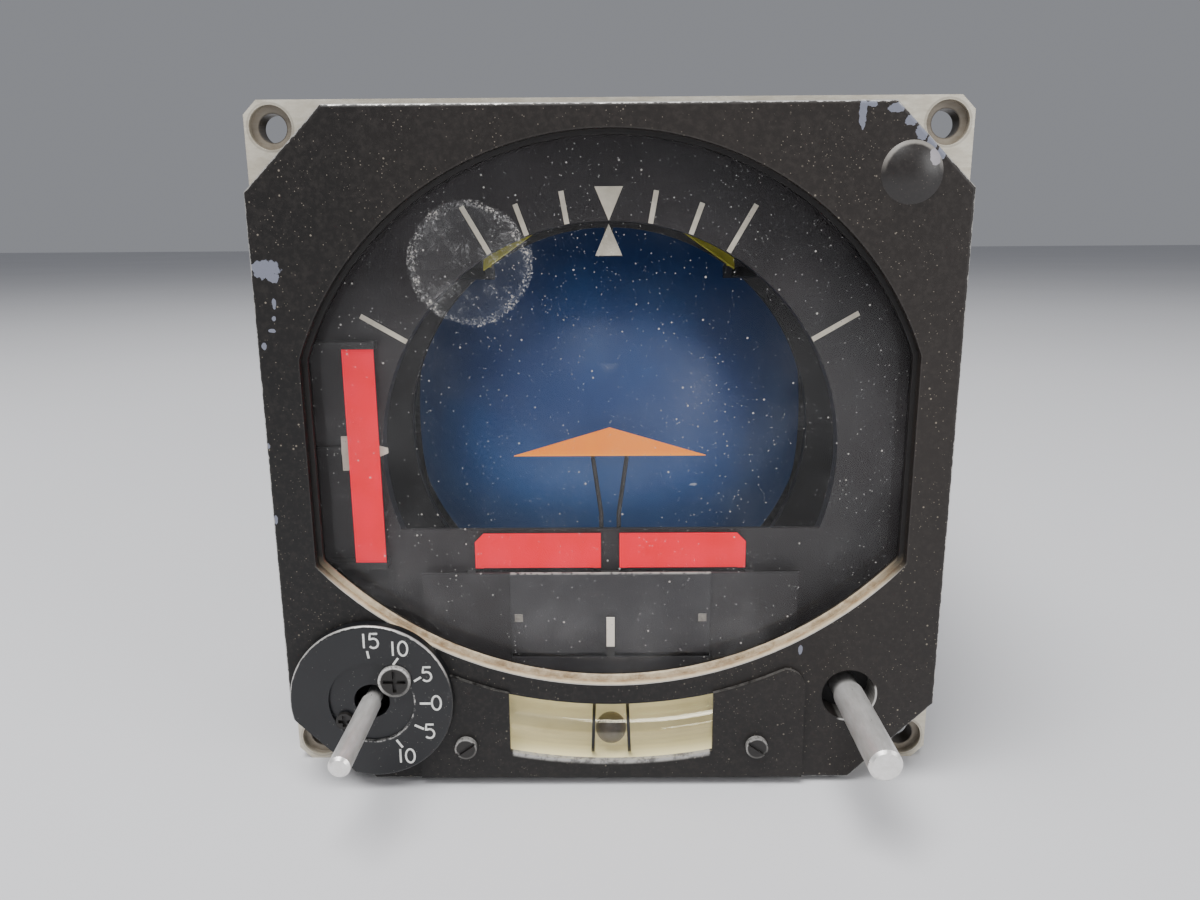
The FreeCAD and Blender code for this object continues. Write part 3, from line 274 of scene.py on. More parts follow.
# chips as (x, z, half width, half height) in mm
chips = [(-48.9, 29.2, 1.9, 1.3), (-47.8, 27.9, 0.8, 0.7), (-50.4, 29.4, 0.8, 0.5), (-48.0, 24.2, 0.3, 0.7),
         (-48.2, 22.1, 0.25, 0.35), (-48.6, 20.4, 0.5, 0.28), (-50.0, 18.2, 0.35, 0.5), (34.7, 49.6, 0.55, 1.9),
         (36.0, 50.7, 0.7, 0.4), (39.4, 50.2, 1.3, 0.6), (41.4, 48.6, 0.9, 0.8), (43.0, 47.0, 0.9, 1.0),
         (44.4, 45.6, 0.8, 1.0), (45.8, 44.2, 0.7, 0.9), (29.6, -29.7, 0.3, 0.9), (-50.6, -8.0, 0.3, 0.7),
         (-50.7, 3.4, 0.25, 0.4)]
shaftHole = {"x": 37.5, "z": -37.4, "radius": 4.35, "from": 77.2, "to": 78.2}


def blackPaint(name, rough=0.45, dusty=0.5):
    book = Book(name)
    p = bezelPaint
    cloud = book.noise(mm(30), 3.0, 0.5)
    fine = book.noise(mm(0.7), 3.0, 0.6)
    # painted reflection: the paint is lighter toward the upper right and darker toward the lower left
    paintedSheen = book.step(book.x * 0.8 + book.z * 0.5, mm(-42.0), mm(46.0))
    shade = book.clip(paintedSheen * 0.85 + (book.step(cloud, 0.3, 0.7) - 0.5) * 0.25)
    colour = book.mix(shade, p["deep"], p["paint"])
    colour = book.mix(book.step(fine, 0.40, 0.75) * 0.12, colour, p["haze"])
    specks = dustSpecks(book, mm(0.75), 0.58) + dustSpecks(book, mm(1.5), 0.48)
    specks = specks + dustSpecks(book, mm(0.5), 0.50)
    return book, book.mix(book.clip(specks) * dusty, colour, p["dust"]), fine, cloud, rough


def bezelFinish():
    book, colour, fine, cloud, rough = blackPaint("bezel_black")
    p = bezelPaint
    patches = 0.0
    for x, z, width, height in chips:
        patches = patches + blob(book, mm(x), mm(z), mm(width), mm(height), 0.65, mm(0.9))
    depth = book.y + (book.noise(mm(1.5), 3.0, 0.6) - 0.5) * mm(1.6)
    patches = book.clip(patches) * book.step(depth, bezelFront + mm(1.5), bezelFront + mm(1.1))
    colour = book.mix(patches, colour, p["chip"])
    # bare lines along the outer edges
    distance = outlineDistance(book, p) + (book.noise(mm(1.4), 4.0, 0.75) - 0.5) * mm(0.75)
    near = book.step(book.y, bezelFront + mm(1.6), bezelFront + mm(0.4))
    bare = book.step(distance, p["wear"], p["wear"] * 0.5) * near
    sides = book.step(book.noise(mm(2.6), 4.0, 0.7, stretch=(1.0, 1.0, 0.4)), 0.60, 0.68)
    bare = bare * 0.9 + sides * book.step(outlineDistance(book, p), mm(0.2), mm(0.05)) * 0.6
    # the window's low wall carries old sealant, brown against the paint and pale at its middle
    inward = windowDistance(book)
    wobble = (book.noise(mm(2.0), 4.0, 0.7) - 0.5) * mm(0.35)
    lowPart = book.step(book.z, mm(-15.0), mm(-21.0))
    wall = book.step(inward + wobble, mm(-0.20), mm(-0.05)) * book.step(inward, mm(2.0), mm(1.6)) * lowPart
    streak = book.noise(mm(1.6), 4.0, 0.65)
    toward = book.step(book.y, bezelFront + mm(1.1), bezelFront + mm(0.3))
    sealantTone = book.mix(book.clip(toward * 0.75 + (streak - 0.5) * 1.4 + 0.2), p["brown"], p["beige"])
    colour = book.mix(wall, colour, sealantTone)
    rim = book.step(book.math("ABSOLUTE", inward + mm(0.10)), mm(0.12), mm(0.04))
    rim = rim * book.step(book.y, bezelFront + mm(0.3), bezelFront)
    bare = book.clip(bare + rim * (lowPart * 0.8 + 0.015))
    # bright crescent low on the right of the shaft's hole
    hole = shaftHole
    holeFar = book.length(book.x - mm(hole["x"]), book.z - mm(hole["z"]))
    crescent = book.step(book.math("ABSOLUTE", holeFar - mm(hole["radius"])), mm(0.22), mm(0.08))
    crescent = crescent * book.step(book.x - book.z, mm(hole["from"]), mm(hole["to"]))
    bare = book.clip(bare + crescent * 0.8)
    colour = book.mix(bare, colour, p["metal"])
    # the level's slot has pale walls behind the cover plate, and these walls also glow a little: painted light that
    # lifts them out of the slot's shade
    low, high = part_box("inclinometer_tube")
    across = book.step(book.math("ABSOLUTE", book.x), high[0] + mm(3.0), high[0] + mm(2.8))
    below = book.step(book.z, low[2] - mm(3.0), low[2] - mm(2.8))
    above = book.step(book.z, high[2] + mm(2.0), high[2] + mm(1.8))
    pale = across * below * above * book.step(book.y, bezelFront + mm(0.1), bezelFront + mm(0.3))
    colour = book.mix(pale, colour, p["cream"])
    height = fine * 0.5 - patches * 2.0
    return book.finish(Base_Color=colour, Roughness=book.clip(book.blend(bare, rough, 0.35) + (fine - 0.5) * 0.2),
                       Metallic=book.clip(bare * 0.7), Normal=book.bump(height, mm(0.05), 0.5),
                       Specular_IOR_Level=p["shine"], Emission_Strength=p["slotPaintedGlow"],
                       Emission_Color=book.mix(pale, (0.0, 0.0, 0.0), p["cream"]))


# cover plate: a bright line along the slot's lower lip and light wear on the plate's side faces
coverShape = {"strip": 82.15, "stripCentre": 33.8, "half": 15.9, "depth": 0.70}


def coverFinish():
    book, colour, fine, cloud, rough = blackPaint("cover_black", 0.42, 0.35)
    p = bezelPaint
    topEdge = mm(coverShape["stripCentre"]) - book.z
    grit = book.step(book.noise(mm(1.8), 4.0, 0.7), 0.38, 0.58)
    lip = book.length(book.x, book.z - mm(coverShape["stripCentre"])) - mm(coverShape["strip"])
    middle = book.step(book.math("ABSOLUTE", book.x), mm(coverShape["half"]), mm(coverShape["half"] - 0.4))
    # the slot's lower lip is bright: partly wear, partly a painted highlight where the lip faces the light from
    # above
    lipWearAndHighlight = book.step(lip, mm(0.85), mm(0.25)) * middle * book.step(topEdge, mm(70.0), mm(72.0))
    front = book.step(book.y, bezelFront - mm(coverShape["depth"]), bezelFront - mm(coverShape["depth"] + 0.06))
    side = (1.0 - front) * grit
    bare = book.clip(lipWearAndHighlight * (grit * 0.5 + 0.25) + side * 0.10)
    colour = book.mix(bare, colour, p["metal"])
    return book.finish(Base_Color=colour, Roughness=book.clip(rough + (fine - 0.5) * 0.2),
                       Metallic=book.clip(bare * 0.6), Normal=book.bump(fine * 0.5 + cloud * 0.2, mm(0.05), 0.5),
                       Specular_IOR_Level=p["shine"])


# plug: domed black cap with a painted highlight as a thin bright rim on its upper side, and a chip
capShape = {"x": 41.95, "z": 41.7, "radius": 4.3}


def capFinish():
    book, colour, fine, cloud, rough = blackPaint("cap_black", 0.38, 0.3)
    colour = book.mix(0.35, colour, (0.10, 0.09, 0.09))
    c = capShape
    far = book.length(book.x - mm(c["x"]), book.z - mm(c["z"]))
    wobble = (book.noise(mm(1.2), 4.0, 0.7) - 0.5) * mm(0.4)
    # painted highlight: the rim is lightened only on the cap's upper side
    rim = book.step(far + wobble, mm(c["radius"] - 0.75), mm(c["radius"] - 0.35))
    rim = rim * book.step(book.z, mm(c["z"] - 0.5), mm(c["z"] + 2.5))
    chip = blob(book, mm(c["x"] + 2.9), mm(c["z"] + 2.0), mm(0.8), mm(1.2), 0.4, mm(1.0))
    colour = book.mix(rim * 0.6, colour, (0.62, 0.60, 0.57))
    colour = book.mix(chip, colour, (0.55, 0.53, 0.55))
    return book.finish(Base_Color=colour, Roughness=book.clip(rough + (fine - 0.5) * 0.2),
                       Normal=book.bump(fine * 0.5 + cloud * 0.2, mm(0.05), 0.5))


paintNode("bezel", bezelFinish())
paintNode("inclinometer_cover", coverFinish())
paintNode("blanking_cap", capFinish())
print("bezel paint done")


# bare metal
def bareMetal(name, light, dark, rough=0.4, metallic=0.85, grain=(1.0, 1.0, 1.0), size=mm(1.2), stain=0.35,
              pitted=0.5):
    book = Book(name)
    broad = book.noise(mm(8), 4.0, 0.6)
    brushed = book.noise(size, 4.0, 0.7, stretch=grain)
    colour = book.mix(book.step(brushed, 0.25, 0.8), dark, light)
    grime = book.step(broad, 0.52, 0.78) * stain
    colour = book.mix(grime, colour, tuple(c * 0.55 for c in dark))
    if pitted:
        colour = book.mix(dustSpecks(book, mm(0.9), 0.42) * pitted, colour, tuple(c * 0.4 for c in dark))
    roughness = book.clip(rough + (brushed - 0.5) * 0.35 + grime * 0.3, 0.08, 0.95)
    return book.finish(Base_Color=colour, Roughness=roughness, Metallic=metallic,
                       Normal=book.bump(brushed + broad * 0.4, mm(0.02), 0.35))


shaftMetal = bareMetal("shaft_bright", (0.97, 0.96, 0.95), (0.89, 0.88, 0.86), rough=0.34, metallic=0.7,
                       grain=(1.0, 0.25, 1.0), size=mm(0.9), stain=0.05, pitted=0.0)


# flange: clean machined plate; its counterbores and bores are painted dark as painted shade inside the holes
flangeHoles = {"place": 49.05, "counterbore": 3.35, "bore": 2.3}


def flangeFinish():
    book = Book("flange_bare")
    broad = book.noise(mm(16), 3.0, 0.5)
    brushed = book.noise(mm(0.9), 4.0, 0.7, stretch=(0.3, 1.0, 1.0))
    colour = book.mix(book.step(brushed, 0.3, 0.8), (0.80, 0.77, 0.70), (0.90, 0.88, 0.82))
    colour = book.mix(book.step(broad, 0.45, 0.75) * 0.35, colour, (0.74, 0.69, 0.60))
    h = flangeHoles
    across, up = (book.math("ABSOLUTE", value) - mm(h["place"]) for value in (book.x, book.z))
    far = book.length(across, up)
    # painted shade: counterbore floor, bore and counterbore wall darkened
    sunk = book.step(book.y, flangeLow[1] + mm(0.15), flangeLow[1] + mm(0.6)) * book.step(far, mm(3.3), mm(3.1))
    colour = book.mix(sunk * 0.65, colour, (0.34, 0.28, 0.23))
    colour = book.mix(book.step(far, mm(h["bore"]), mm(h["bore"] - 0.3)) * 0.75, colour, (0.14, 0.11, 0.09))
    ring = book.step(book.math("ABSOLUTE", far - mm(h["counterbore"])), mm(0.25), mm(0.05))
    colour = book.mix(ring * 0.35, colour, (0.42, 0.38, 0.33))
    return book.finish(Base_Color=colour, Roughness=book.clip(0.45 + (brushed - 0.5) * 0.3),
                       Metallic=0.3, Normal=book.bump(brushed, mm(0.02), 0.3))


screwMetal = bareMetal("screw_dark", (0.34, 0.32, 0.30), (0.16, 0.15, 0.14), rough=0.45, metallic=0.9)
steelPlain = bareMetal("steel_plain", (0.66, 0.66, 0.67), (0.46, 0.46, 0.47), rough=0.35, metallic=1.0)
castMetal = bareMetal("machined_plate", (0.74, 0.75, 0.76), (0.55, 0.56, 0.57), rough=0.38, metallic=0.95)
brassMetal = bareMetal("brass_plain", (0.80, 0.66, 0.36), (0.58, 0.45, 0.22), rough=0.32, metallic=1.0)
motorMetal = bareMetal("motor_can", (0.52, 0.53, 0.55), (0.36, 0.37, 0.39), rough=0.4, metallic=0.9)
connectorMetal = bareMetal("connector_olive", (0.52, 0.50, 0.32), (0.36, 0.35, 0.22), rough=0.42, metallic=0.7)
for node in ("chassis_rails", "front_bulkhead", "rear_bulkhead", "pointer_guides", "ball_hubs"):
    paintNode(node, castMetal)
for node in ("roll_shaft", "pitch_axle", "roll_bearings", "pointer_drive_shaft", "slide_rods", "rear_screws"):
    paintNode(node, steelPlain)
for node in ("roll_gear", "pitch_gear", "roll_pinion", "pitch_pinion", "slip_rings"):
    paintNode(node, brassMetal)
for node in ("roll_motor", "pitch_motor", "synchro_rotor", "synchro_stator", "command_motors"):
    paintNode(node, motorMetal)
for node in ("left_knob_shaft", "right_knob_shaft"):
    paintNode(node, shaftMetal)
paintNode("mounting_flange", flangeFinish())
paintNode("rear_connector", connectorMetal)
print("metals done")


# painted and moulded surfaces: two shades in clouds, fine tooth, a little dust
def paintedFinish(name, light, dark, rough=0.5, size=mm(6), dust=0.3, tooth=0.03, metallic=0.0):
    book = Book(name)
    cloud = book.noise(size, 4.0, 0.6)
    fine = book.noise(size * 0.09, 3.0, 0.6)
    colour = book.mix(book.step(cloud, 0.28, 0.74), dark, light)
    if dust:
        colour = book.mix(dustSpecks(book, mm(0.8), 0.5) * dust, colour, (0.62, 0.58, 0.52))
    roughness = book.clip(rough + (cloud - 0.5) * 0.2 + (fine - 0.5) * 0.15, 0.05, 1.0)
    return book.finish(Base_Color=colour, Roughness=roughness, Metallic=metallic,
                       Normal=book.bump(fine + cloud * 0.3, mm(tooth), 0.4))


innerPaint = {"mask": ((0.135, 0.115, 0.118), (0.095, 0.085, 0.088)),
              "black": ((0.12, 0.11, 0.11), (0.08, 0.075, 0.075)),
              "case": ((0.165, 0.165, 0.172), (0.135, 0.135, 0.140))}
maskPaint = paintedFinish("mask_black", *innerPaint["mask"], rough=0.55, size=mm(14), dust=0.2, tooth=0.002)
insideBlack = paintedFinish("inside_black", *innerPaint["black"], rough=0.6, dust=0.1, tooth=0.006)
casePaint = paintedFinish("case_grey_black", *innerPaint["case"], rough=0.46, size=mm(9), dust=0.35, tooth=0.09)
rearPaint = paintedFinish("rear_cover_black", *innerPaint["case"], rough=0.44, size=mm(8), dust=0.3, tooth=0.07)
moulded = paintedFinish("moulded_black", (0.12, 0.12, 0.12), (0.07, 0.07, 0.07), rough=0.42, dust=0.2)
whitePaint = paintedFinish("aged_white", (0.84, 0.81, 0.74), (0.74, 0.71, 0.64), rough=0.6, size=mm(2.5), dust=0.1)
dialWhite = paintedFinish("dial_white", (0.92, 0.92, 0.90), (0.80, 0.80, 0.78), rough=0.5, size=mm(1.5), dust=0.0)


def creamFinish():
    book = Book("aged_cream")
    cloud = book.noise(mm(5), 4.0, 0.6)
    fine = book.noise(mm(0.7), 3.0, 0.6)
    colour = book.mix(cloud, (0.80, 0.75, 0.56), (0.95, 0.91, 0.74))
    # the backing glows a little: painted light that lifts it out of the slot's shade
    return book.finish(Base_Color=colour, Roughness=book.clip(0.5 + (fine - 0.5) * 0.2), Emission_Color=colour,
                       Emission_Strength=0.32, Normal=book.bump(fine, mm(0.02), 0.3))


boardGreen = paintedFinish("board_green", (0.13, 0.32, 0.20), (0.08, 0.22, 0.14), rough=0.4, size=mm(4), dust=0.2)
ballSteel = paintedFinish("ball_dark", (0.26, 0.22, 0.19), (0.16, 0.135, 0.12), rough=0.42, size=mm(2), dust=0.0,
                          tooth=0.01)
paintNode("dial_mask", maskPaint)
paintNode("case_can", casePaint)
paintNode("rear_cover", rearPaint)
paintNode("servo_board", boardGreen)
paintNode("inclinometer_back", creamFinish())
paintNode("inclinometer_ball", ballSteel)
for node in ("index_wires", "symbol_support", "flag_guides", "inclinometer_caps", "roll_gimbal", "knob_bushes"):
    paintNode(node, insideBlack)
for node in ("knob_potentiometers", "brush_block"):
    paintNode(node, moulded)
print("painted parts done")


# fluorescent flags: only the plate itself is red, its tails are black
flagPaint = {"light": (0.95, 0.02, 0.19), "deep": (0.90, 0.0, 0.13), "tail": (0.10, 0.09, 0.09),
             "paintedGlow": 0.24, "bodyLow": -18.45, "shine": 0.1}


def flagFinish(name, tailed):
    book = Book(name)
    cloud = book.noise(mm(5), 4.0, 0.6)
    fine = book.noise(mm(0.6), 3.0, 0.6)
    colour = book.mix(book.step(cloud, 0.3, 0.7), flagPaint["deep"], flagPaint["light"])
    paintedGlow = colour
    if tailed:
        tail = book.step(book.z, mm(flagPaint["bodyLow"] + 0.05), mm(flagPaint["bodyLow"] - 0.05))
        colour = book.mix(tail, colour, flagPaint["tail"])
        paintedGlow = book.mix(tail, paintedGlow, (0.0, 0.0, 0.0))
    # painted light: the red plate glows, standing in for the brightness of the fluorescent paint
    return book.finish(Base_Color=colour, Roughness=book.clip(0.5 + (fine - 0.5) * 0.2), Emission_Color=paintedGlow,
                       Emission_Strength=flagPaint["paintedGlow"], Specular_IOR_Level=flagPaint["shine"],
                       Normal=book.bump(fine, mm(0.02), 0.3))


paintNode("glideslope_flag", flagFinish("side_flag_red", False))
lowFlagRed = flagFinish("low_flag_red", True)
paintNode("right_low_flag", lowFlagRed)
paintNode("left_low_flag", lowFlagRed)


# side pointer: aged white head, black stem and carriage
pointerPaint = {"headLeft": -41.75, "stem": (0.10, 0.09, 0.09)}


def pointerFinish():
    book = Book("side_pointer_paint")
    cloud = book.noise(mm(2), 3.0, 0.6)
    stem = book.step(book.x, mm(pointerPaint["headLeft"]), mm(pointerPaint["headLeft"] - 0.20))
    colour = book.mix(cloud, (0.72, 0.69, 0.63), (0.84, 0.81, 0.75))
    return book.finish(Base_Color=book.mix(stem, colour, pointerPaint["stem"]),
                       Roughness=book.clip(0.55 + (cloud - 0.5) * 0.3), Normal=book.bump(cloud, mm(0.02), 0.3))


# low panel: a slightly greyer centre plate with a hairline gap at each side
panelShape = {"half": 16.2, "top": -19.0}


def panelFinish():
    book = Book("panel_black")
    cloud = book.noise(mm(7), 4.0, 0.6)
    fine = book.noise(mm(0.6), 3.0, 0.6)
    across = book.math("ABSOLUTE", book.x)
    colour = book.mix(cloud, (0.105, 0.095, 0.098), (0.135, 0.122, 0.126))
    half, top = panelShape["half"], panelShape["top"]
    centre = book.step(across, mm(half + 0.1), mm(half - 0.2))
    colour = book.mix(centre, colour, book.mix(cloud, (0.130, 0.125, 0.132), (0.180, 0.172, 0.180)))
    gap = book.step(book.math("ABSOLUTE", across - mm(half)), mm(0.22), mm(0.10))
    colour = book.mix(gap, colour, (0.07, 0.065, 0.065))
    edge = book.step(book.z, mm(top - 0.25), mm(top)) * book.step(across, mm(half), mm(half - 0.4))
    colour = book.mix(edge * book.step(fine, 0.35, 0.5), colour, (0.62, 0.61, 0.59))
    return book.finish(Base_Color=colour, Roughness=book.clip(0.55 + (fine - 0.5) * 0.3),
                       Normal=book.bump(fine, mm(0.008), 0.3))


# sealant bead: pale beige low in the window; elsewhere painted near black as a painted shadow band under the
# bezel's rim
def sealantFinish():
    book = Book("sealant_beige")
    cloud = book.noise(mm(2.2), 4.0, 0.7)
    lowPart = book.step(book.z + (cloud - 0.5) * mm(5), mm(-14.0), mm(-20.0))
    pale = book.mix(book.step(cloud, 0.25, 0.70), bezelPaint["brown"], bezelPaint["beige"])
    # painted shadow: away from the low part the bead is near black
    colour = book.mix(lowPart, (0.11, 0.10, 0.095), pale)
    return book.finish(Base_Color=colour, Roughness=book.clip(0.55 + (cloud - 0.5) * 0.3),
                       Normal=book.bump(cloud, mm(0.15), 0.5))


# trim dial: satin black disc; its rim is bright above, partly wear and partly a painted highlight on its upper
# side, and the edge round the recess has scuffs with a painted highlight on its lower right
dialShape = {"x": -37.5, "z": -37.4, "radius": 12.8, "recess": 6.7}


def dialFinish():
    book = Book("dial_black")
    d = dialShape
    across, up = book.x - mm(d["x"]), book.z - mm(d["z"])
    far = book.length(across, up)
    cloud = book.noise(mm(5), 4.0, 0.6)
    fine = book.noise(mm(0.8), 4.0, 0.7)
    colour = book.mix(cloud, (0.050, 0.054, 0.064), (0.082, 0.086, 0.098))
    wobble = (book.noise(mm(1.0), 4.0, 0.75) - 0.5) * mm(0.5)
    rim = book.step(far + wobble, mm(d["radius"] - 0.28), mm(d["radius"] - 0.10))
    # painted highlight: the rim's brightness is weighted to the upper side
    rim = rim * (book.step(up - across * 0.25, mm(-1.0), mm(5.0)) * 0.75 + 0.04)
    rim = rim * book.step(book.y, dialFront + mm(0.55), dialFront + mm(0.25))
    # scuffs and a painted highlight, weighted to the lower right of the recess
    scuffAndHighlight = book.step(book.math("ABSOLUTE", far - mm(d["recess"] + 0.12)), mm(0.20), mm(0.05))
    scuffAndHighlight = scuffAndHighlight * book.step(fine, 0.42, 0.62) * book.step(across - up, mm(-4.0), mm(5.0))
    rub = book.step(book.noise(mm(2.4), 5.0, 0.7), 0.62, 0.78) * 0.10
    colour = book.mix(book.clip(rim + scuffAndHighlight * 0.6 + rub), colour, (0.82, 0.81, 0.79))
    colour = book.mix(dustSpecks(book, mm(0.55), 0.50) * 0.5, colour, (0.66, 0.64, 0.60))
    return book.finish(Base_Color=colour, Roughness=book.clip(0.36 + (fine - 0.5) * 0.25 + rim * 0.05),
                       Metallic=book.clip(rim * 0.6), Normal=book.bump(fine, mm(0.03), 0.4))


# screws: dark heads whose rims are bright, partly wear and partly a painted highlight on the upper left, at centres
# given as (x, z, radius) in mm
dialScrews = [(-33.6, -33.7, 2.55)]
coverScrews = [(-23.1, -45.8, 1.75), (23.1, -45.8, 1.75)]


def screwFinish(name, centres, bright):
    book = Book(name)
    rim = 0.0
    for x, z, radius in centres:
        across, up = book.x - mm(x), book.z - mm(z)
        # painted highlight: the bright rim is weighted to the upper left
        upper = book.step(up - across * 0.4, mm(-radius * 0.9), mm(radius * 0.7)) * 0.8 + 0.2
        far = book.length(across, up)
        ring = book.step(far, mm(radius * 0.80), mm(radius * 0.90))
        rim = rim + ring * book.step(far, mm(radius * 1.3), mm(radius * 1.1)) * upper
    fine = book.noise(mm(0.5), 4.0, 0.7)
    wornAndHighlight = book.clip(rim * book.step(fine, 0.28, 0.52) * bright)
    colour = book.mix(wornAndHighlight, book.mix(fine, (0.09, 0.085, 0.08), (0.17, 0.16, 0.15)), (0.88, 0.87, 0.85))
    return book.finish(Base_Color=colour, Roughness=book.clip(0.42 + (fine - 0.5) * 0.3),
                       Metallic=book.clip(wornAndHighlight * 0.4 + 0.2), Normal=book.bump(fine, mm(0.03), 0.4))


paintNode("glideslope_pointer", pointerFinish())
paintNode("lower_panel", panelFinish())
paintNode("glass_gasket", sealantFinish())
paintNode("trim_dial", dialFinish())
paintNode("dial_screws", screwFinish("dial_screw_heads", dialScrews, 0.85))
paintNode("cover_screws", screwFinish("cover_screw_heads", coverScrews, 0.40))
print("flags, panel and dial done")


# delta: orange-yellow, brighter along its lower edge
deltaPaint = {"dark": (0.93, 0.46, 0.0), "light": (0.97, 0.58, 0.0), "paintedGlow": 0.12}


def deltaFinish():
    book = Book("delta_orange")
    cloud = book.noise(mm(4), 4.0, 0.6)
    low = book.step(book.z, mm(0.6), mm(-0.3))
    colour = book.mix(book.clip(cloud * 0.6 + low * 0.5), deltaPaint["dark"], deltaPaint["light"])
    # painted light: the delta glows a little
    return book.finish(Base_Color=colour, Roughness=book.clip(0.5 + (cloud - 0.5) * 0.2), Emission_Color=colour,
                       Emission_Strength=deltaPaint["paintedGlow"], Normal=book.bump(cloud, mm(0.03), 0.4))


# bars: the slanted front strips are olive yellow, the arms behind them black
barShape = {"park": 27.0, "pivot": 88.0, "strip": -89.10, "half": 22.0}


def barFinish():
    book = Book("command_bar_paint")
    cloud = book.noise(mm(3), 4.0, 0.6)
    b = barShape
    parked = math.radians(b["park"])
    forward = (book.y - mm(b["pivot"])) * math.cos(parked) - book.z * math.sin(parked)
    strip = book.step(forward, mm(b["strip"]), mm(b["strip"] - 0.10))
    strip = strip * book.step(book.math("ABSOLUTE", book.x), mm(b["half"]), mm(b["half"] - 1.0))
    yellow = book.mix(cloud, (0.52, 0.50, 0.10), (0.66, 0.64, 0.22))
    colour = book.mix(strip, (0.10, 0.095, 0.09), yellow)
    return book.finish(Base_Color=colour, Roughness=book.clip(0.5 + (cloud - 0.5) * 0.3),
                       Normal=book.bump(cloud, mm(0.03), 0.4))


# sphere: deep blue above and paler in slow clouds; paler low on the disc as painted light from below
ballPaint = {"deep": (0.080, 0.195, 0.375), "haze": (0.150, 0.310, 0.510), "ground": (0.20, 0.13, 0.09),
             "groundHaze": (0.30, 0.20, 0.12), "paintedLight": 0.24}


def sphereFinish(name, deep, haze):
    book = Book(name)
    cloud = book.noise(mm(26), 4.0, 0.5)
    fine = book.noise(mm(1.2), 3.0, 0.6)
    # painted light: the disc turns paler toward the bottom
    towardBottom = book.step(book.z, mm(8.0), mm(-14.0))
    mask = book.clip(towardBottom * 0.45 + book.step(cloud, 0.42, 0.70) * 0.45)
    colour = book.mix(mask, deep, haze)
    colour = book.mix(dustSpecks(book, mm(0.9), 0.4) * 0.25, colour, (0.55, 0.58, 0.62))
    # the sphere glows evenly: painted light that lifts its edges out of the mask's shade
    return book.finish(Base_Color=colour, Roughness=book.clip(0.5 + (fine - 0.5) * 0.2), Emission_Color=colour,
                       Emission_Strength=ballPaint["paintedLight"], Normal=book.bump(fine, mm(0.004), 0.2))


paintNode("delta_symbol", deltaFinish())
barPaint = barFinish()
paintNode("left_command_bar", barPaint)
paintNode("right_command_bar", barPaint)
paintNode("sky_shell", sphereFinish("sphere_sky", ballPaint["deep"], ballPaint["haze"]))
paintNode("ground_shell", sphereFinish("sphere_ground", ballPaint["ground"], ballPaint["groundHaze"]))
paintNode("pointer_ring", insideBlack)


# slider: white only on the strip that shows in the slit
sliderShape = {"front": -6.0, "low": -31.35}


def sliderFinish():
    book = Book("slider_paint")
    cloud = book.noise(mm(2), 3.0, 0.6)
    strip = sliderShape
    front = book.step(book.y, mm(strip["front"]), mm(strip["front"] - 0.3))
    front = front * book.step(book.z, mm(strip["low"]), mm(strip["low"] + 0.15))
    colour = book.mix(front, (0.10, 0.095, 0.09), (0.86, 0.83, 0.77))
    return book.finish(Base_Color=colour, Roughness=book.clip(0.55 + (cloud - 0.5) * 0.3),
                       Normal=book.bump(cloud, mm(0.02), 0.3))


paintNode("localizer_bar", sliderFinish())
print("indicators done")


# window: clear glass that turns to haze where dust or old sealant lies on it
windowGlass = {"clear": 0.010, "film": 0.030, "residueX": -20.3, "residueZ": 29.6, "residueRadius": 8.8,
               "grain": 1.15}


def glassFinish():
    book = Book("window_clear")
    g = windowGlass
    across = book.x - mm(g["residueX"])
    up = book.z - mm(g["residueZ"])
    wander = (book.noise(mm(4.5), 4.0, 0.6) - 0.5) * mm(3.0)
    far = book.length(across, up) + wander
    inside = book.step(far, mm(g["residueRadius"] + 0.25), mm(g["residueRadius"] - 0.15))
    rim = inside * book.step(far, mm(g["residueRadius"] - 1.3), mm(g["residueRadius"] - 0.3))
    broken = book.step(book.noise(mm(3.0), 3.0, 0.6), 0.40, 0.62)
    speckle = book.step(book.noise(mm(0.34), 4.0, 0.8), 0.52, 0.66)
    smear = book.step(book.noise(mm(3.0), 4.0, 0.65), 0.50, 0.70)
    residue = inside * 0.018 + rim * speckle * (broken * 0.60 + 0.25)
    residue = residue + inside * smear * (speckle * 0.30 + 0.02)
    patch = book.step(book.noise(mm(9), 3.0), 0.35, 0.60)
    grains = book.step(book.cells(mm(g["grain"])), 0.105, 0.05) * (patch * 0.75 + 0.25)
    grains = grains + book.step(book.cells(mm(0.8)), 0.11, 0.06) * patch * 0.6
    large = book.step(book.cells(mm(3.2)), 0.055, 0.035)
    lint = book.step(book.noise(mm(1.4), 2.0, 0.5, stretch=(0.25, 1.0, 1.0)), 0.80, 0.84) * 0.25
    cloud = book.step(book.noise(mm(16), 5.0, 0.65), 0.40, 0.75)
    towardBottom = book.step(book.z, mm(-8.0), mm(-34.0))
    film = cloud * g["film"] * (towardBottom + 0.5)
    dust = book.clip(residue + grains * 0.50 + large * 0.65 + lint + film)
    colour = book.mix(dust, (1.0, 1.0, 1.0), (0.80, 0.76, 0.68))
    return book.finish(Base_Color=colour, Metallic=book.clip(1.0 - dust * 12.0),
                       Roughness=book.clip(0.03 + dust * 6.0, 0.0, 0.85), Alpha=book.clip(dust * 0.85 + g["clear"]))


# level's glass: pale straw liquid in clear tube
def tubeFinish():
    book = Book("tube_clear")
    cloud = book.noise(mm(4), 3.0, 0.5)
    colour = book.mix(cloud, (1.0, 0.98, 0.90), (0.96, 0.92, 0.80))
    return book.finish(Base_Color=colour, Metallic=1.0, Roughness=book.clip(cloud * 0.06 + 0.03),
                       Alpha=book.clip(cloud * 0.03 + 0.05))


paintNode("window_glass", glassFinish())
paintNode("inclinometer_tube", tubeFinish())
print("glass done")


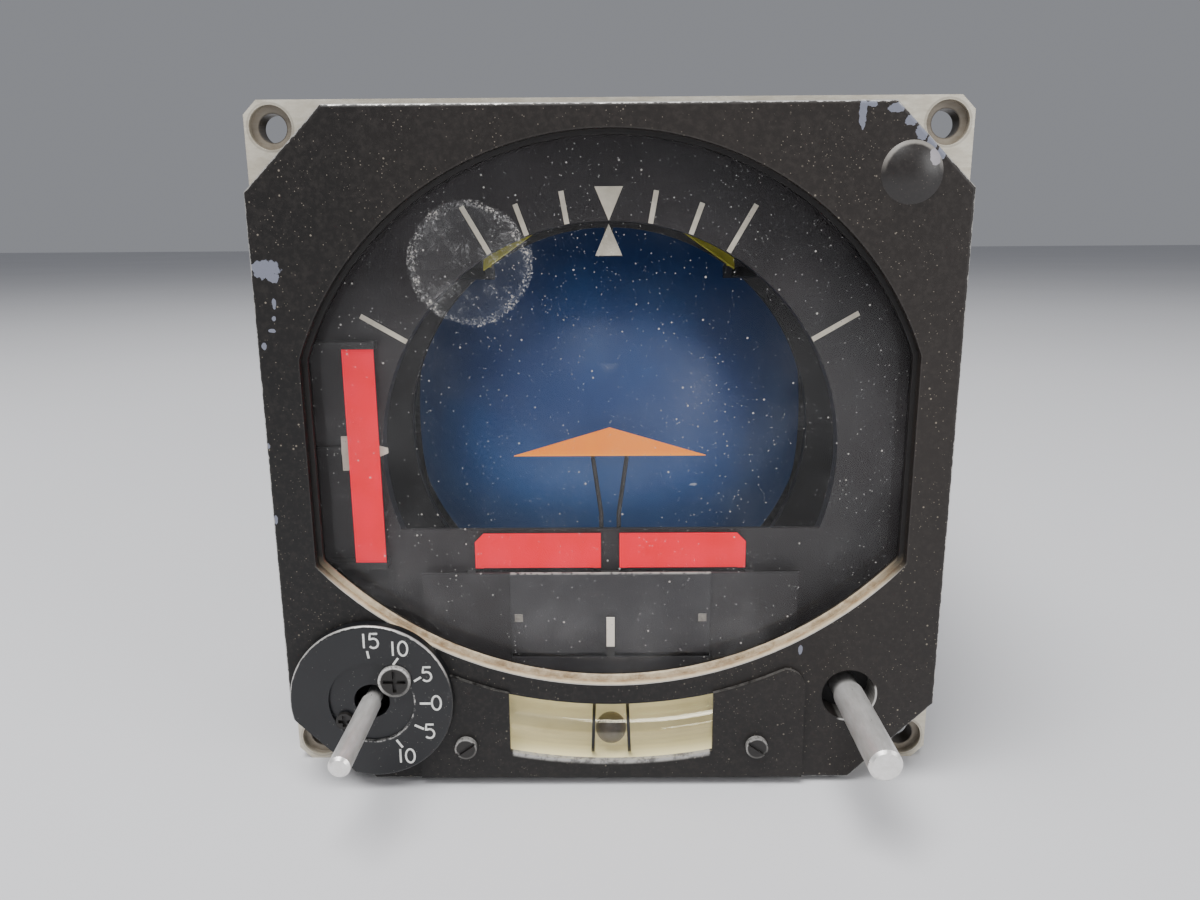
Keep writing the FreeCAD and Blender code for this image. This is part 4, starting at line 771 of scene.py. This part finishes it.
# marks: thin painted slabs laid on the plates behind the window
# The two sides of a path: each point moved half the width along the normal to its direction
def ribbon(path, width, closed=False):
    line = np.asarray(path, dtype=float)
    ahead = np.roll(line, -1, axis=0) - line if closed else np.gradient(line, axis=0)
    behind = line - np.roll(line, 1, axis=0) if closed else ahead
    along = ahead / np.linalg.norm(ahead, axis=1)[:, None] + behind / np.linalg.norm(behind, axis=1)[:, None]
    along /= np.linalg.norm(along, axis=1)[:, None]
    side = np.column_stack([-along[:, 1], along[:, 0]]) * width / 2
    return line + side, line - side


# A stroke of even width along a path, its two sides joined into a closed slab between two depths
def strokes(paths, width, front, back):
    verts, faces = [], []
    for path, closed in paths:
        left, right = ribbon(path, width, closed)
        count, start = len(left), len(verts)
        for depth, edge in ((front, left), (front, right), (back, left), (back, right)):
            verts += [(x, depth, z) for x, z in edge]
        nearLeft, nearRight, farLeft, farRight = (start + k * count for k in range(4))
        last = count if closed else count - 1
        for i in range(last):
            j = (i + 1) % count
            faces += [(nearLeft + i, nearRight + i, nearRight + j, nearLeft + j),
                      (farLeft + i, farLeft + j, farRight + j, farRight + i),
                      (nearLeft + i, nearLeft + j, farLeft + j, farLeft + i),
                      (nearRight + i, farRight + i, farRight + j, nearRight + j)]
        if not closed:
            e = count - 1
            faces += [(nearLeft, farLeft, farRight, nearRight),
                      (nearLeft + e, nearRight + e, farRight + e, farLeft + e)]
    return verts, faces


# Points on an ellipse: centre + radius times (cos, sin) of angles from start to end
def arcPath(centreX, centreZ, radiusX, radiusZ, start, end, count=25):
    turn = np.radians(np.linspace(start, end, count))
    return np.column_stack([centreX + radiusX * np.cos(turn), centreZ + radiusZ * np.sin(turn)])


# Digits drawn with one even stroke, one unit high about their own centre
def digitPaths(digit):
    if digit == "0":
        return [(arcPath(0, 0, 0.30, 0.5, 0, 345, 24), True)]
    if digit == "1":
        return [(np.array([(0.0, 0.5), (0.0, 0.17), (0.0, -0.17), (0.0, -0.5)]), False)]
    top = np.array([(0.26, 0.5), (0.0, 0.5), (-0.22, 0.5), (-0.25, 0.30), (-0.27, 0.09)])
    bowl = arcPath(-0.03, -0.17, 0.31, 0.33, 118, -140, 21)
    return [(np.vstack([top, bowl]), False)]


marks = {"bankInner": 35.7, "bankShort": 40.5, "bankLong": 43.6, "bankWidth": 0.75, "proud": 0.05,
         "indexHalf": 2.1, "indexLow": 35.6, "indexHigh": 40.5,
         "pointerHalf": 2.05, "pointerLow": 30.5, "pointerHigh": 35.2, "pointerFace": -1.25,
         "squareHalf": 0.65, "squareLow": -27.2, "squareHigh": -25.9, "squareX": 14.8}
shortAngles, longAngles = (-20.0, -10.0, 10.0, 20.0), (-60.0, -30.0, 30.0, 60.0)
half = mm(marks["bankWidth"] / 2)
outlines = [turned(bar(half, mm(marks["bankInner"]), mm(marks["bankShort"])), a) for a in shortAngles]
outlines += [turned(bar(half, mm(marks["bankInner"]), mm(marks["bankLong"])), a) for a in longAngles]
outlines.append(np.array([(0.0, mm(marks["indexLow"])), (mm(marks["indexHalf"]), mm(marks["indexHigh"])),
                          (-mm(marks["indexHalf"]), mm(marks["indexHigh"]))]))
proud = mm(marks["proud"])
addMesh("bank_marks", *prisms(outlines, maskFront - proud, maskFront), "housing", whitePaint, "white_paint")

pointerTriangle = [np.array([(-mm(marks["pointerHalf"]), mm(marks["pointerLow"])),
                             (mm(marks["pointerHalf"]), mm(marks["pointerLow"])), (0.0, mm(marks["pointerHigh"]))])]
pointerFace = mm(marks["pointerFace"])
addMesh("bank_pointer", *prisms(pointerTriangle, pointerFace - proud, pointerFace), "pointer_ring", whitePaint,
        "white_paint")

square = bar(mm(marks["squareHalf"]), mm(marks["squareLow"]), mm(marks["squareHigh"]))
squares = [square + (side * mm(marks["squareX"]), 0.0) for side in (-1, 1)]
addMesh("deviation_squares", *prisms(squares, panelFront - proud, panelFront), "housing",
        paintedFinish("worn_white", (0.52, 0.50, 0.46), (0.36, 0.34, 0.32), size=mm(1.5)), "white_paint")

# dial marks: numerals as (text, x, z) and ticks as (start, end), in mm
dialMarks = {"height": 2.35, "pitch": 0.66, "stroke": 0.30, "tick": 0.34}
numerals = [("15", -37.25, -27.0), ("10", -32.85, -28.3), ("5", -28.55, -32.6), ("0", -27.3, -37.5),
            ("5", -28.55, -42.4), ("10", -32.65, -46.7)]
ticks = [((-37.6, -28.7), (-37.4, -29.9)), ((-33.7, -31.0), (-32.9, -29.9)), ((-30.6, -33.8), (-29.5, -33.1)),
         ((-29.9, -37.6), (-28.2, -37.6)), ((-30.9, -41.3), (-29.5, -42.0)), ((-33.9, -43.9), (-33.0, -45.2))]
dialPaths = []
for text, x, z in numerals:
    for place, digit in enumerate(text):
        shift = (place - (len(text) - 1) / 2) * dialMarks["pitch"]
        for path, closed in digitPaths(digit):
            dialPaths.append(((path + (shift, 0.0)) * mm(dialMarks["height"]) + (mm(x), mm(z)), closed))
addMesh("dial_numerals", *strokes(dialPaths, mm(dialMarks["stroke"]), dialFront - proud, dialFront),
        "housing", dialWhite, "white_paint")
tickPaths = [(mm(1) * np.linspace(a, b, 3), False) for a, b in ticks]
addMesh("dial_ticks", *strokes(tickPaths, mm(dialMarks["tick"]), dialFront - proud, dialFront),
        "housing", dialWhite, "white_paint")
print("marks done")


# can fittings: slotted screws along the front end of the can, and a blank plate with four rivets on its top
canFittings = {"head": 1.9, "slot": 0.5, "baseHeight": 0.25, "height": 0.55, "across": 30.0, "front": 7.0,
               "lean": 35.0, "plateHalf": 19.0, "plateFrom": 62.0, "plateTo": 92.0, "plateHeight": 0.35,
               "rivet": 1.1, "rivetInset": 2.2, "rivetHeight": 0.35}


# Flat outlines (u, v) raised from level low to high along one side's outward direction
def raisedOnSide(outlines, low, high, side):
    verts, faces = prisms(outlines, -high, -low)
    flat = np.array([(u, -w, v) for u, w, v in verts])
    u, w, v = flat[:, 0], flat[:, 1], flat[:, 2]
    place = {"top": (u, v, w), "low": (-u, v, -w), "right": (w, v, -u), "left": (-w, v, u)}[side]
    return np.column_stack(place), faces


# A round outline, or the part of it from one angle to another
def roundOutline(centreU, centreV, radius, start=0.0, end=345.0, count=24):
    return arcPath(centreU, centreV, radius, radius, start, end, count)


sideLevels = {"top": caseHigh[2], "low": -caseLow[2], "right": caseHigh[0], "left": -caseLow[0]}
headVerts, headFaces = [], []
f = canFittings
slotAngle = math.degrees(math.asin(f["slot"] / f["head"] / 2))
for side, level in sideLevels.items():
    for u in (-f["across"], f["across"]):
        rounds = [roundOutline(mm(u), mm(f["front"]), mm(f["head"]))]
        halves = [roundOutline(mm(u), mm(f["front"]), mm(f["head"]), base + slotAngle, base + 180.0 - slotAngle, 13)
                  for base in (f["lean"], f["lean"] + 180.0)]
        for outlines, low, high in ((rounds, 0.0, f["baseHeight"]), (halves, f["baseHeight"], f["height"])):
            verts, faces = raisedOnSide(outlines, level + mm(low), level + mm(high), side)
            headFaces += [tuple(i + len(headVerts) for i in face) for face in faces]
            headVerts += [tuple(corner) for corner in verts]
addMesh("can_screws", headVerts, headFaces, "housing", screwMetal, "steel")

top = sideLevels["top"]
plateOutline = [bar(mm(f["plateHalf"]), mm(f["plateFrom"]), mm(f["plateTo"]))]
plateMetal = bareMetal("blank_plate", (0.62, 0.62, 0.61), (0.55, 0.55, 0.54), rough=0.42, metallic=0.9,
                       grain=(0.1, 1.0, 1.0), size=mm(0.35), stain=0.15)
plateFace = top + mm(f["plateHeight"])
addMesh("blank_plate", *raisedOnSide(plateOutline, top, plateFace, "top"), "housing", plateMetal, "steel")
rivets = [roundOutline(side * mm(f["plateHalf"] - f["rivetInset"]), mm(v), mm(f["rivet"]))
          for side in (-1, 1) for v in (f["plateFrom"] + f["rivetInset"], f["plateTo"] - f["rivetInset"])]
addMesh("plate_rivets", *raisedOnSide(rivets, plateFace, plateFace + mm(f["rivetHeight"]), "top"), "housing",
        steelPlain, "steel")
print("can fittings done")


# floor, light and camera
floorPlane = bpy.data.meshes.new("pale_floor")
span, floorZ = 6.0, flangeLow[2] - mm(0.02)
floorCorners = [(-span, -span, floorZ), (span, -span, floorZ), (span, span, floorZ), (-span, span, floorZ)]
floorPlane.from_pydata(floorCorners, [], [(0, 1, 2, 3)])
floorBook = Book("floor_pale")
floorCloud = floorBook.noise(0.4, 3.0)
floorBook.finish(Base_Color=floorBook.mix(floorCloud, (0.80, 0.80, 0.81), (0.84, 0.84, 0.85)), Roughness=0.9)
floorPlane.materials.append(floorBook.material)
floorPiece = bpy.data.objects.new("pale_floor", floorPlane)
bpy.context.scene.collection.objects.link(floorPiece)

# lights as (x, y, z, size, power), in metres and watts
studio = {"key": (-0.25, -0.35, 1.10, 0.8, 26.0), "fill": (1.1, -0.8, 0.45, 0.7, 9.0), "world": 0.36}


def areaLight(name, x, y, z, size, power):
    light = bpy.data.lights.new(name, "AREA")
    light.energy, light.size = power, size
    lamp = bpy.data.objects.new(name, light)
    lamp.location = (x, y, z)
    lamp.rotation_euler = (Vector((0, 0, 0)) - Vector((x, y, z))).to_track_quat("-Z", "Y").to_euler()
    bpy.context.scene.collection.objects.link(lamp)


areaLight("key_light", *studio["key"])
areaLight("fill_light", *studio["fill"])
world = bpy.data.worlds.new("studio_world")
world.use_nodes = True
world.node_tree.nodes["Background"].inputs[0].default_value = tone((0.86, 0.87, 0.90))
world.node_tree.nodes["Background"].inputs[1].default_value = studio["world"]
bpy.context.scene.world = world

view = {"place": (-0.506, -143.606, 33.49), "turn": (76.800, 0.3827, 0.3285), "lens": 27.45}
lens = bpy.data.cameras.new("front_camera")
lens.sensor_width, lens.lens, lens.clip_start = 36.0, view["lens"], 0.005
camera = bpy.data.objects.new("front_camera", lens)
camera.location = [mm(v) for v in view["place"]]
camera.rotation_euler = Euler([math.radians(a) for a in view["turn"]], "XYZ")
bpy.context.scene.collection.objects.link(camera)
bpy.context.scene.camera = camera
